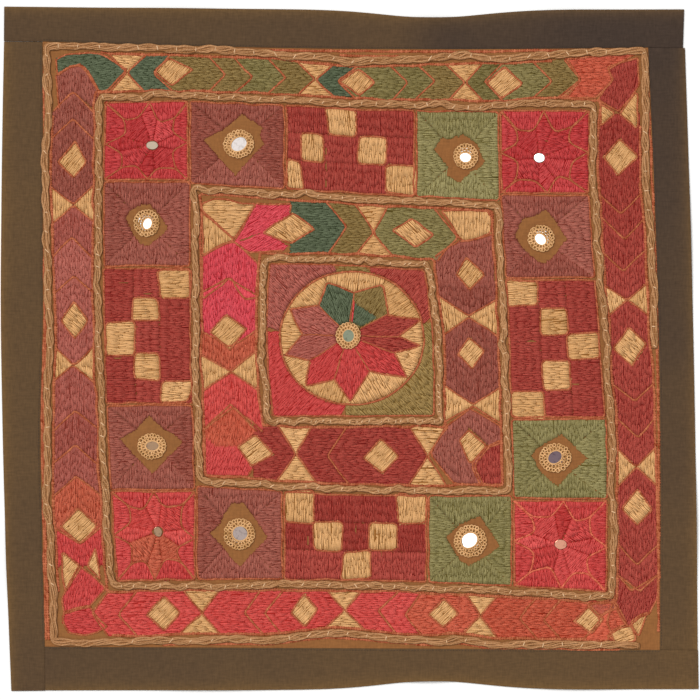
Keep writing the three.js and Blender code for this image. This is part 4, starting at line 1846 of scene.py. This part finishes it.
@dataclass
class CentreSquare:
    """The middle square: corner fields round a disc, cream between the points of a star, and a mirror.

    A corner field has the directions where it starts and ends, its thread and the direction of its stitches.
    """

    needle: Needle
    centre: tuple[float, float] = (2.7, 11.3)
    radius_x: float = 77.5
    radius_y: float = 72.0
    points: tuple[StarPoint, ...] = (
        StarPoint((-24.5, 71), (5, 60.5), TEAL),
        StarPoint((35.5, 68), (41, 36.5), OLIVE),
        StarPoint((76.5, 31), (54, 13), MAROON),
        StarPoint((76.5, 3), (48.5, -5), MAROON),
        StarPoint((62.5, -31.5), (21.5, -24.5), SCARLET),
        StarPoint((1, -57.5), (-17, -33.5), SCARLET),
        StarPoint((-46.5, -40), (-43, -13), SCARLET),
        StarPoint((-70, -7.5), (-50.5, 15), LILAC),
        StarPoint((-64.5, 43), (-33.5, 46.5), LILAC),
    )
    shaded: Shape = ((5.5, 49.5), (30, 33.5), (13, 24), (3, 27))
    red_seam: Shape = ((4.5, 52.5), (2.5, 28))
    seam_width: float = 1.6
    notch_width: float = 1.2
    corner_fields: tuple[tuple[float, float, Thread, float], ...] = (
        (174, 265, SCARLET, 45),
        (265, 372, MOSS, -45),
        (12, 76, MAROON, 45),
        (76, 102, MOSS, 0),
        (102, 174, LILAC, -45),
    )

    def on_disc(self, angle: float, share: float) -> Points:
        """A point of the disc.

        Args:
            angle: Its direction in degrees.
            share: Its share of the disc's radius.

        Returns:
            The point.
        """
        turn = math.radians(angle)
        reach = np.array((self.radius_x * math.cos(turn), self.radius_y * math.sin(turn)))
        return np.array(self.centre) + share * reach

    def rim(self, start: float, end: float, share: float = 1.0) -> Points:
        """Points of an arc of the disc."""
        count = max(3, round(abs(end - start) / 5))
        return np.array([self.on_disc(angle, share) for angle in np.linspace(start, end, count)])

    def direction(self, point: Sequence[float]) -> float:
        """The direction of a point on the disc, in degrees of the disc's own oval."""
        return heading((np.array(point) - np.array(self.centre)) / np.array((self.radius_x, self.radius_y)))

    def build(self) -> None:
        """Works the corner fields, the cream and the star."""
        needle = self.needle
        square = CORD_INNER.outline(CHANNEL + 0.5, 6.0)
        for start, end, thread, angle in self.corner_fields:
            needle.fill(Patch(self.corner_loop(square, start, end), thread, angle))
        needle.line(self.rim(0, 360), closed=True)
        needle.line(square, closed=True)
        mirror = middle_of("mirror_centre")
        window = ellipse(mirror, CENTRE_WINDOW - 3.5, CENTRE_WINDOW - 3)
        shaded = np.array(self.shaded)
        for number, point in enumerate(self.points):
            before = self.points[number - 1]
            after = self.points[(number + 1) % len(self.points)]
            tip, notch = np.array(point.tip), np.array(point.notch)
            petal = np.array((mirror, before.notch, tip, notch))
            needle.fill(Patch(petal, point.thread, heading(tip - mirror), [window, shaded]))
            start = self.direction(tip)
            end = start - (start - self.direction(after.tip)) % 360
            arc = self.rim(start - 1, end + 1, 0.985)
            segment = np.concatenate(([tip], arc, [np.array(after.tip)], [notch]))
            needle.cream(segment, heading(self.on_disc((start + end) / 2, 1.0) - mirror))
            needle.line(np.array((before.notch, tip, notch)))
            spoke = mirror + (notch - mirror) * np.array((0.3, 1.0))[:, None]
            needle.line(spoke, width=self.notch_width)
        needle.fill(Patch(shaded, TEAL, 60, [window]))
        needle.line(np.array(self.red_seam), thread=CRIMSON, width=self.seam_width)

    def corner_loop(self, square: Points, start: float, end: float) -> Points:
        """The outline of a field between the disc and the square.

        Args:
            square: The outline of the square.
            start: The direction in degrees where the field starts.
            end: The direction where it ends.

        Returns:
            A closed loop.
        """
        offset = square - np.array(self.centre)
        bearing = (np.degrees(np.arctan2(offset[:, 1], offset[:, 0])) - start) % 360
        kept = bearing < end - start
        return np.concatenate((square[kept][np.argsort(bearing[kept])], self.rim(end, start, 1.015)))


@dataclass
class CouchedCord:
    """A flat bundle of strands laid round a frame and tied down at short steps, over a bed of threads tinted
    darker as painted shade between the strands.

    An open cord has the shares of the right and bottom sides where it starts and ends. It is narrowest at its
    ties and swells between them.
    """

    node: str
    frame: HandFrame
    seed: int
    tie_step: float
    spread: float
    open_ends: tuple[float, float] | None = None
    shift: float = 0.0
    strands: int = 9
    strand_radius: float = 0.95
    bed: tuple[float, ...] = (-0.65, 0.0, 0.65)
    bed_radius: float = 1.8
    # The bed's darker tint is painted shade between the strands.
    bed_shade_tint: float = 0.25
    flatness: float = 0.6
    crown: float = 0.75
    narrowest: float = 0.62
    swelling: float = 0.4
    twist: float = 0.16
    step: float = 2.6
    wander: float = 1.2
    tied: float = 0.85

    def route(self) -> Points:
        """The middle line of the cord, with rounded corners.

        Returns:
            One x, y row for each point.
        """
        if self.open_ends is None:
            line = self.frame.outline(0.0, self.step)
            for _ in range(3):
                line = (np.roll(line, 1, axis=0) + 2 * line + np.roll(line, -1, axis=0)) / 4
            return line
        first, last = self.open_ends
        runs = ((RIGHT, first, 0.0), (TOP, 1.0, 0.0), (LEFT, 1.0, 0.0), (BOTTOM, 1.0, last))
        line = np.concatenate([self.frame.run(*run, self.step) for run in runs])
        for _ in range(3):
            line[1:-1] = (line[:-2] + 2 * line[1:-1] + line[2:]) / 4
        return line

    def build(self, workshop: Workshop, ties: "TieStitches") -> Object:
        """Makes the strands and leaves the places of the ties.

        Args:
            workshop: Where pieces are made.
            ties: The ties of all cords, which this cord's are added to.

        Returns:
            The cord.
        """
        random = np.random.default_rng(self.seed)
        line = self.route()
        closed = self.open_ends is None
        ahead = directions(line, closed)
        aside = left_of(ahead)
        length = travelled(line)
        tie_count = round(length[-1] / self.tie_step)
        tie_phase = length / length[-1] * tie_count
        swell = np.abs(np.sin(math.pi * tie_phase)) ** 0.8
        line = line + aside * (self.shift + self.drift(random, length, tie_count, self.wander))[:, None]
        breadth = self.narrowest + self.swelling * swell + self.drift(random, length, 2 * tie_count, 0.11)
        turns = round(self.twist * tie_count) * length / length[-1]
        skein = Skein()
        for level in self.bed:
            flat = line + aside * (self.spread * level * breadth)[:, None]
            path = np.column_stack((flat, np.full(len(flat), CORD_MIDDLE)))
            # The bed threads carry painted shade.
            skein.tube(path, self.bed_radius, 4, closed, self.bed_shade_tint, self.flatness / 2)
        for number in range(self.strands):
            turn = 2 * math.pi * (number / self.strands + turns)
            turn = turn + self.drift(random, length, 2 * tie_count, 0.3)
            height = CORD_MIDDLE + self.crown * np.cos(turn) * (0.8 + 0.3 * swell)
            path = np.column_stack((line + aside * (self.spread * breadth * np.sin(turn))[:, None], height))
            tint = 0.5 + random.normal(0, 0.09) + self.drift(random, length, 3 * tie_count, 0.1)
            skein.tube(path, self.strand_radius, 4, closed, np.clip(tint, -0.2, 1), self.flatness)
        for tie in range(tie_count):
            index = min(int(np.searchsorted(tie_phase, tie + 0.02)), len(line) - 1)
            if random.random() < self.tied:
                ties.add(line[index], ahead[index], self.spread, random)
        mesh = skein.mesh(self.node + "_strands")
        return workshop.place(mesh, workshop.materials[CORD], "cord_yarn", [self.node])

    @staticmethod
    def drift(random: np.random.Generator, length: Points, knots: int, reach: float) -> Points:
        """A smooth sideways wander along the cord that returns to its start.

        Args:
            random: The hand's unsteadiness.
            length: The distance of each point along the cord.
            knots: The number of turns.
            reach: How far it strays.

        Returns:
            The wander at each point.
        """
        values = random.normal(0, reach, knots)
        values[-1] = values[0]
        return np.interp(length, np.linspace(0, length[-1], knots), values)


@dataclass
class TieStitches:
    """The short stitches that hold the cords down."""

    foot: float = GROUND_TOP + 0.3
    crown: float = 4.1
    radius: float = 0.58
    skein: Skein = field(default_factory=Skein)

    def add(self, place: Points, ahead: Points, spread: float, random: np.random.Generator) -> None:
        """Adds a tie across a cord.

        Args:
            place: The middle of the cord.
            ahead: The cord's direction.
            spread: The half-width of the cord.
            random: The hand's unsteadiness.
        """
        share = np.linspace(-1, 1, 6)
        slant = random.normal(0.3, 0.45)
        across = left_of(ahead) + slant * ahead
        half = spread * random.uniform(0.45, 0.85)
        height = self.foot + (self.crown - self.foot) * np.sqrt(1 - 0.98 * share**2)
        path = np.column_stack((place + share[:, None] * half * across, height))
        self.skein.tube(path, self.radius, 4, False, 0.5 + random.normal(0, 0.25))

    def build(self, workshop: Workshop) -> Object:
        """Makes all ties as one piece and returns it."""
        return workshop.place(self.skein.mesh("cord_ties"), workshop.materials[TIE], "cord_yarn")


@dataclass(frozen=True)
class MirrorSpot:
    """A mirror as it shows: its solids' name, half-sizes, shift and turn in degrees, its painted reflection
    and its lace.

    The lace is given by the half-sizes of its outer edge; the small mirrors have none.
    """

    name: str
    half: tuple[float, float]
    shift: tuple[float, float]
    turn: float
    state: Mirror
    lace: tuple[float, float] | None = None

    def turned(self, along: Points, half: Sequence[float]) -> Points:
        """Points of an oval that is turned as the mirror is.

        Args:
            along: Directions in radians, in the oval's own turn.
            half: The oval's half-sizes.

        Returns:
            One x, y row for each direction.
        """
        turn = math.radians(self.turn)
        cosine, sine = math.cos(turn), math.sin(turn)
        across, up = half[0] * np.cos(along), half[1] * np.sin(along)
        return np.stack((across * cosine - up * sine, across * sine + up * cosine), axis=-1)


MIRROR_SPOTS = (
    MirrorSpot("top_left", (9, 6.8), (0.6, -0.3), 35, Mirror.PALE, (16.2, 14.8)),
    MirrorSpot("top_right", (6.1, 4.8), (-0.75, -1.8), 0, Mirror.WHITE, (12.6, 13.7)),
    MirrorSpot("right_upper", (6.4, 4.9), (-1.1, -1.4), -45, Mirror.WHITE, (14.3, 14.1)),
    MirrorSpot("right_lower", (7.6, 6), (-0.6, 0.6), 35, Mirror.VIOLET, (17.4, 15.6)),
    MirrorSpot("bottom_right", (8.8, 7.3), (-1.5, 0.75), 35, Mirror.WHITE, (17.6, 17.6)),
    MirrorSpot("bottom_left", (7.9, 7.4), (1.4, 1.1), 0, Mirror.BLUE, (16.5, 16.9)),
    MirrorSpot("left_lower", (6.7, 4.7), (1, 0.6), 0, Mirror.GREY, (15.1, 14)),
    MirrorSpot("left_upper", (5.7, 4.3), (1.3, -0.9), 70, Mirror.WHITE, (14, 14.6)),
    MirrorSpot("centre", (6, 6.6), (0.5, -0.1), 0, Mirror.SAGE, (12.7, 13.6)),
    MirrorSpot("corner_top_left", (6.8, 4.5), (0, 0), 0, Mirror.MIST),
    MirrorSpot("corner_top_right", (6.1, 5.1), (0, 0), 0, Mirror.WHITE),
    MirrorSpot("corner_bottom_right", (6.7, 5.6), (0, 0), 0, Mirror.SAND),
    MirrorSpot("corner_bottom_left", (4.6, 5.6), (0, 0), 20, Mirror.GREY),
)


@dataclass
class MirrorWork:
    """Mirrors cut by hand, and the needle lace that holds the larger ones.

    The lace has rounds beneath, tinted dark as painted shade under the loops, a light round at the opening
    and rounds of small loops, each at a share of the way from the opening to the outer edge. It slopes down
    by its fall.
    """

    seed: int = 11
    glass_half: tuple[float, float] = (9.6, 9.6)
    thickness: float = 1.0
    foot: float = 1.5
    rounding: float = 0.25
    segments: int = 26
    fall: float = 0.75
    under_shares: tuple[float, ...] = (0.14, 0.38, 0.62, 0.86)
    under_radius: float = 0.95
    under_height: float = 2.95
    # The under rounds are tinted as painted shade beneath the loops.
    under_shade_tint: float = -0.55
    rim_share: float = 0.06
    rim_radius: float = 0.6
    rim_height: float = 3.3
    rim_tint: float = 0.6
    loop_rounds: tuple[float, ...] = (0.34, 0.78)
    loop_radius: float = 0.6
    loop_height: float = 3.55
    loop_half: float = 1.75
    loop_step: float = 3.3

    def build(self, workshop: Workshop) -> None:
        """Makes the mirrors, one piece each, and the lace as one piece.

        Args:
            workshop: Where pieces are made.
        """
        random = np.random.default_rng(self.seed)
        skein = Skein()
        for spot in MIRROR_SPOTS:
            mesh = self.glass(spot, random)
            # Each mirror gets the material of its painted reflection.
            workshop.place(mesh, workshop.materials[spot.state], "mirror_glass", [f"mirror_{spot.name}"])
            if spot.lace:
                self.work_lace(skein, spot, random)
        rings = [f"ring_{spot.name}" for spot in MIRROR_SPOTS if spot.lace]
        workshop.place(skein.mesh("lace_rings"), workshop.materials[LACE], "ring_thread", rings)

    def glass(self, spot: MirrorSpot, random: np.random.Generator) -> Mesh:
        """Cuts one mirror with a slightly uneven edge.

        Args:
            spot: The mirror.
            random: The hand's unsteadiness.

        Returns:
            The mesh.
        """
        half = self.glass_half if spot.lace else spot.half
        centre = middle_of(f"mirror_{spot.name}")
        shape = bmesh.new()
        bmesh.ops.create_circle(shape, cap_ends=True, radius=1.0, segments=self.segments)
        phase = random.uniform(0, 2 * math.pi, 2)
        for vert in shape.verts:
            angle = math.atan2(vert.co.y, vert.co.x)
            wave = math.sin(2 * angle + phase[0]) * 0.5 + math.sin(5 * angle + phase[1]) * 0.5
            uneven = 1 - 0.04 * (1 + wave)
            flat = centre + spot.turned(angle, (half[0] * uneven, half[1] * uneven))
            vert.co = (*flat, self.foot)
        top = bmesh.ops.extrude_face_region(shape, geom=shape.faces[:])
        raised = [item for item in top["geom"] if isinstance(item, bmesh.types.BMVert)]
        bmesh.ops.translate(shape, verts=raised, vec=(0, 0, self.thickness))
        rim = [edge for edge in shape.edges if all(vert in raised for vert in edge.verts)]
        bmesh.ops.bevel(
            shape, geom=rim, offset=self.rounding, affect="EDGES", segments=2, profile=0.5, material=-1,
            offset_type="OFFSET",
        )
        bmesh.ops.recalc_face_normals(shape, faces=shape.faces[:])
        bmesh.ops.scale(shape, vec=(MM, MM, MM), verts=shape.verts[:])
        return finished(shape, f"glass_{spot.name}")

    @staticmethod
    def lace_point(spot: MirrorSpot, centre: Points, angle: Points, share: float) -> Points:
        """Points of a round of the lace.

        Args:
            spot: The mirror.
            centre: The ring's middle.
            angle: Directions in radians.
            share: How far out the round lies, 0 at the opening and 1 at the outer edge.

        Returns:
            One x, y row for each direction.
        """
        opening = spot.turned(angle - math.radians(spot.turn), spot.half) + np.array(spot.shift)
        edge = np.stack((spot.lace[0] * np.cos(angle), spot.lace[1] * np.sin(angle)), axis=-1)
        return centre + (1 - share) * opening + share * edge

    def work_lace(self, skein: Skein, spot: MirrorSpot, random: np.random.Generator) -> None:
        """Works one ring.

        Args:
            skein: Where the threads go.
            spot: The mirror.
            random: The hand's unsteadiness.
        """
        centre = middle_of(f"ring_{spot.name}")
        turn = np.linspace(0, 2 * math.pi, 30, endpoint=False)
        for share in self.under_shares:
            height = np.full(len(turn), self.under_height - self.fall * share)
            path = np.column_stack((self.lace_point(spot, centre, turn, share), height))
            # Under rounds darkened as painted shade.
            skein.tube(path, self.under_radius, 4, True, self.under_shade_tint)
        rim = self.lace_point(spot, centre, turn, self.rim_share)
        path = np.column_stack((rim, np.full(len(turn), self.rim_height)))
        skein.tube(path, self.rim_radius, 5, True, self.rim_tint)
        bend = np.linspace(0, 2 * math.pi, 9, endpoint=False)
        cosine, sine = np.cos(bend)[:, None], np.sin(bend)[:, None]
        for share in self.loop_rounds:
            around = self.lace_point(spot, centre, turn, share)
            length = float(np.linalg.norm(around - np.roll(around, 1, axis=0), axis=1).sum())
            count = round(length / self.loop_step)
            for number in range(count):
                angle = 2 * math.pi * (number + random.normal(0, 0.12)) / count
                middle = self.lace_point(spot, centre, np.array(angle), share + random.normal(0, 0.02))
                out = np.array((math.cos(angle), math.sin(angle)))
                half = self.loop_half * random.uniform(0.85, 1.15)
                flat = middle + half * 1.1 * cosine * out + half * sine * left_of(out)
                path = np.column_stack((flat, self.loop_height - self.fall * share - 0.2 * np.cos(bend)))
                skein.tube(path, self.loop_radius, 4, True, 0.5 + random.normal(0, 0.2))


@dataclass
class GroundCloth:
    """The square of ground cloth that all the stitching goes through."""

    cells: int = 40
    lap: float = 0.25

    def build(self, workshop: Workshop) -> Object:
        """Makes the cloth as a closed sheet and returns it."""
        mesh = finished(sheet_shape(self.cells, self.cells, self.top, GROUND_TOP), "ground_cloth")
        return workshop.place(mesh, GROUND_FINISH.material(workshop.effects), "ground_cloth", ["panel"])

    def top(self, across: Points, up: Points) -> Points:
        """Points of the panel's top by their shares of its width and height from the lower left.

        Args:
            across: Shares of the width.
            up: Shares of the height.

        Returns:
            One x, y, z row for each point.
        """
        top = PANEL.side_point(TOP, across, -self.lap)
        bottom = PANEL.side_point(BOTTOM, 1 - across, -self.lap)
        left = PANEL.side_point(LEFT, up, -self.lap)
        right = PANEL.side_point(RIGHT, 1 - up, -self.lap)
        top_left, top_right, bottom_right, bottom_left = np.array(PANEL.corners)
        across, up = across[:, None], up[:, None]
        plain = (1 - up) * ((1 - across) * bottom_left + across * bottom_right)
        plain = plain + up * ((1 - across) * top_left + across * top_right)
        flat = (1 - up) * bottom + up * top + (1 - across) * left + across * right - plain
        return np.column_stack((flat, np.full(len(flat), GROUND_TOP)))


@dataclass(frozen=True)
class Ripple:
    """A low ripple of the border's free edge: its place and half-length along the side, and its rise."""

    at: float
    reach: float
    rise: float


@dataclass
class BorderStrip:
    """One strip of the border.

    It has the places where its outer and inner edges start and end along its side, clockwise, how faded it is
    at shares of its length, and its ripples. Its free edge is more faded, over a depth.
    """

    name: str
    side: Side
    outer: tuple[float, float]
    inner: tuple[float, float]
    faded: Shape
    ripples: tuple[Ripple, ...]
    clearance: float = 0.3
    lap: float = 0.65
    step: float = 7.0
    rows: int = 10
    rounding: float = 0.55
    sharp: float = 1.0
    edge_fading: float = 0.5
    edge_depth: float = 5.0

    def top(self, share: Points, outward: Points) -> Points:
        """Points of the strip's top.

        Args:
            share: Shares of its length.
            outward: Shares of its width from the seam.

        Returns:
            One x, y, z row for each point.
        """
        lap = math.copysign(self.lap, self.outer[1] - self.outer[0]) * (2 * share - 1)
        place = self.outer[0] + (self.outer[1] - self.outer[0]) * share + lap
        seam = self.inner[0] + (self.inner[1] - self.inner[0]) * share + lap
        outer = CLOTH.side_at(self.side, place)
        inner = PANEL.side_at(self.side, seam, -self.clearance)
        flat = inner + (outer - inner) * outward[:, None]
        lift = sum(ripple.rise * bell((place - ripple.at) / ripple.reach) for ripple in self.ripples)
        return np.column_stack((flat, BORDER_TOP + lift * outward**1.5))

    def fading(self, points: Points) -> Points:
        """How faded the strip is at points of its surface, from 0 to 1.

        Args:
            points: x, y, z rows in metres.

        Returns:
            A value for each point.
        """
        flat = points[:, :2] / MM
        place = flat[:, self.side.axis]
        share = (place - self.outer[0]) / (self.outer[1] - self.outer[0])
        depth = np.abs((flat - CLOTH.side_at(self.side, place)) @ self.side.inward)
        along = np.interp(share, *np.array(self.faded).T)
        return np.clip(along + self.edge_fading * np.exp(-depth / self.edge_depth), 0, 1)

    def build(self, workshop: Workshop, finish: Material) -> Object:
        """Makes the strip as a closed sheet with rounded edges.

        Args:
            workshop: Where pieces are made.
            finish: The strip's material.

        Returns:
            The strip.
        """
        columns = round(abs(self.outer[1] - self.outer[0]) / self.step)
        shape = sheet_shape(columns, self.rows, self.top, BORDER_TOP)
        edges = [edge for edge in shape.edges if edge.calc_face_angle(0.0) > self.sharp]
        bmesh.ops.bevel(
            shape, geom=edges, offset=self.rounding * MM, affect="EDGES", segments=2, profile=0.5, material=-1
        )
        mesh = finished(shape, f"{self.name}_cloth")
        mesh.shade_smooth()
        points = np.zeros(3 * len(mesh.vertices), np.float32)
        mesh.vertices.foreach_get("co", points)
        fade = mesh.attributes.new("fade", "FLOAT", "POINT")
        fade.data.foreach_set("value", self.fading(points.reshape(-1, 3).astype(float)).astype(np.float32))
        return workshop.place(mesh, finish, "border_cloth", [self.name])


@dataclass
class Border:
    """The four strips round the panel and the machine stitching along their seams."""

    strips: tuple[BorderStrip, ...] = (
        BorderStrip(
            "border_top", TOP, (-371, 359.5), (-371.3, 358.2),
            ((0, 0.34), (0.58, 0.33), (0.66, 0.06), (1, 0)),
            (Ripple(-190, 85, 2.2), Ripple(FOLD_X, 34, 3.4), Ripple(240, 60, 1.6)),
        ),
        BorderStrip(
            "border_right", RIGHT, (322.8, -323.9), (323.1, -323.7), ((0, 0.02), (0.5, 0.2), (1, 0.5)),
            (Ripple(120, 95, 2.0), Ripple(-190, 80, 2.6)),
        ),
        BorderStrip(
            "border_bottom", BOTTOM, (375, -327), (374.4, -327.2), ((0, 0.54), (0.5, 0.5), (1, 0.3)),
            (Ripple(245, 70, 1.8), Ripple(FOLD_X - 4, 36, 3.6), Ripple(-150, 90, 2.0)),
        ),
        BorderStrip(
            "border_left", LEFT, (-368, 329.7), (-367.6, 329.4), ((0, 0.36), (0.5, 0.5), (1, 0.46)),
            (Ripple(-230, 60, 2.8), Ripple(40, 110, 2.2)),
        ),
    )
    seam_inset: float = 2.2
    seam_step: float = 3.2
    seam_length: float = 2.3
    seam_width: float = 0.7
    seam_rise: float = 0.3
    seam_seed: int = 5

    def build(self, workshop: Workshop) -> list[Object]:
        """Makes the strips and returns them."""
        finish = BORDER_FINISH.material(workshop.effects)
        return [strip.build(workshop, finish) for strip in self.strips]

    def sew(self, workshop: Workshop) -> Object:
        """Makes the machine stitches along the seams.

        Args:
            workshop: Where pieces are made.

        Returns:
            The stitches.
        """
        needle = Needle(seed=self.seam_seed, foot=BORDER_TOP - 0.05)
        rows = []
        for side in Side:
            line = PANEL.run(side, 0.0, 1.0, self.seam_step, -self.seam_inset)
            for here, there in zip(line, line[1:]):
                end = here + (there - here) * self.seam_length / self.seam_step
                tint = 0.5 + needle.random.normal(0, 0.15)
                shape = (needle.foot, self.seam_width, self.seam_rise, tint, needle.line_taper)
                rows.append((*here, *end, *shape))
        mesh = needle.lay(np.array(rows), Stitch.LINE, "seam_stitches")
        return workshop.place(mesh, workshop.materials[SEWING], "border_cloth")


@dataclass
class EdgeLines:
    """The rust lines that run beside the cords and along parts of the panel's edge.

    Runs are a frame and its side, the shares of it where a line starts and ends, and how far inward it lies.
    """

    needle: Needle
    width: float = 3.0
    wander: float = 0.8
    step: float = 6.0
    beside: tuple[tuple[HandFrame, float], ...] = (
        (CORD_OUTER, -CHANNEL - 0.8),
        (CORD_MIDDLE_RING, CHANNEL + 0.8),
        (CORD_INNER, -CHANNEL - 0.8),
    )
    runs: tuple[tuple[HandFrame, Side, float, float, float], ...] = (
        (PANEL, LEFT, 0.01, 0.99, 1.5),
        (PANEL, LEFT, 0.01, 0.99, 3.6),
        (PANEL, RIGHT, 0.02, 0.98, 1.6),
        (PANEL, TOP, 0.09, 0.15, 1.6),
        (PANEL, TOP, 0.37, 0.92, 2.2),
        (CORD_EDGE, TOP, 0.09, 0.855, CHANNEL + 0.8),
        (BAND_EDGE, RIGHT, 0.127, 0.896, CHANNEL + 0.8),
        (CORD_EDGE, BOTTOM, 0.126, 0.913, CHANNEL + 0.8),
        (CORD_EDGE, LEFT, 0.083, 0.893, CHANNEL + 0.8),
        (CORD_EDGE, TOP, 0.49, 0.6, -4.6),
        (CORD_EDGE, BOTTOM, 0.07, 0.83, -4.6),
    )

    def build(self) -> None:
        """Works the lines."""
        for cord_frame, inset in self.beside:
            loop = cord_frame.outline(inset, self.step)
            self.needle.line(loop, closed=True, width=self.width, wander=self.wander)
        for edge_frame, side, first, last, inset in self.runs:
            line = edge_frame.run(side, first, last, self.step, inset)
            self.needle.line(line, width=self.width, wander=self.wander / 2)


@dataclass
class Studio:
    """A pale floor, soft light from above and a camera straight over the cloth."""

    view_width: float = 753.2
    view_centre: tuple[float, float] = (0.5, -1.6)
    camera_height: float = 2600.0
    sensor: float = 36.0
    floor_half: float = 4.0
    floor_drop: float = 0.0004
    floor_colour: Colour = (250, 250, 249)
    overhead_power: float = 32.0
    overhead_height: float = 3.4
    overhead_size: float = 2.8
    sun_strength: float = 1.7
    sun_angle: float = 0.4
    sun_place: tuple[float, float, float] = (-2.0, 2.0, 3.0)
    sun_turn: tuple[float, float, float] = (0.0, 0.62, 2.36)
    world_strength: float = 0.45

    def build(self) -> None:
        """Sets up the floor, the lights and the camera."""
        scene = bpy.context.scene
        scene.view_settings.view_transform = "Standard"
        self.lay_floor()
        overhead = bpy.data.lights.new("overhead", "AREA")
        overhead.energy = self.overhead_power
        overhead.size = self.overhead_size
        self.hang(overhead, (0.0, 0.0, self.overhead_height))
        window = bpy.data.lights.new("window_light", "SUN")
        window.energy = self.sun_strength
        window.angle = self.sun_angle
        self.hang(window, self.sun_place, self.sun_turn)
        world = bpy.data.worlds.new("studio")
        world.use_nodes = True
        background = world.node_tree.nodes["Background"]
        background.inputs["Color"].default_value = (1.0, 1.0, 1.0, 1.0)
        background.inputs["Strength"].default_value = self.world_strength
        scene.world = world
        camera = bpy.data.cameras.new("camera")
        camera.sensor_width = self.sensor
        camera.lens = self.sensor * (self.camera_height - GROUND_TOP) / self.view_width
        camera.clip_end = 50.0
        place = (self.view_centre[0] * MM, self.view_centre[1] * MM, self.camera_height * MM)
        scene.camera = self.hang(camera, place)

    def lay_floor(self) -> None:
        """Lays a pale floor just under the cloth."""
        shape = bmesh.new()
        bmesh.ops.create_grid(shape, x_segments=1, y_segments=1, size=self.floor_half)
        mesh = finished(shape, "floor")
        material, _, shader = start_material("pale_floor")
        shader.inputs["Base Color"].default_value = linear(self.floor_colour)
        shader.inputs["Roughness"].default_value = 0.95
        mesh.materials.append(material)
        floor = self.hang(mesh, (0.0, 0.0, -self.floor_drop))

    @staticmethod
    def hang(data: bpy.types.ID, place: Sequence[float], turn: Sequence[float] = (0.0, 0.0, 0.0)) -> Object:
        """Puts the floor, a light or the camera into the scene.

        Args:
            data: What is put there.
            place: Where it is, in metres.
            turn: How it is turned, in radians.

        Returns:
            The object that holds it.
        """
        holder = bpy.data.objects.new(data.name, data)
        holder.location = place
        holder.rotation_euler = turn
        bpy.context.scene.collection.objects.link(holder)
        return holder


def main() -> None:
    """Builds the cloth piece by piece and sets up the studio."""
    logging.basicConfig(level=logging.INFO, format="%(name)s: %(message)s")
    workshop = Workshop()
    panel = GroundCloth().build(workshop)
    border = Border()
    strips = border.build(workshop)
    seams = border.sew(workshop)
    needle = Needle()
    outer, inner = Band(BAND_EDGE, CORD_OUTER), Band(CORD_MIDDLE_RING, CORD_INNER)
    StitchedBand(needle, outer, OUTER_CHARTS, OUTER_PIECES, OUTER_DIAMONDS).build()
    StitchedBand(needle, inner, INNER_CHARTS, INNER_PIECES, INNER_DIAMONDS).build()
    BlockRing(needle).build()
    CentreSquare(needle).build()
    EdgeLines(needle).build()
    needle.finish(workshop)
    ties = TieStitches()
    CouchedCord("cord_edge", CORD_EDGE, 1, 21.0, 3.6, (0.5, 0.035)).build(workshop, ties)
    CouchedCord("cord_outer", CORD_OUTER, 2, 14.0, 3.2, shift=0.6).build(workshop, ties)
    CouchedCord("cord_middle", CORD_MIDDLE_RING, 3, 13.0, 3.0).build(workshop, ties)
    CouchedCord("cord_inner", CORD_INNER, 4, 7.0, 2.8).build(workshop, ties)
    ties.build(workshop)
    MirrorWork().build(workshop)
    Studio().build()
    LOG.info("%d pieces", len(workshop.pieces))


if __name__ == "__main__":
    main()
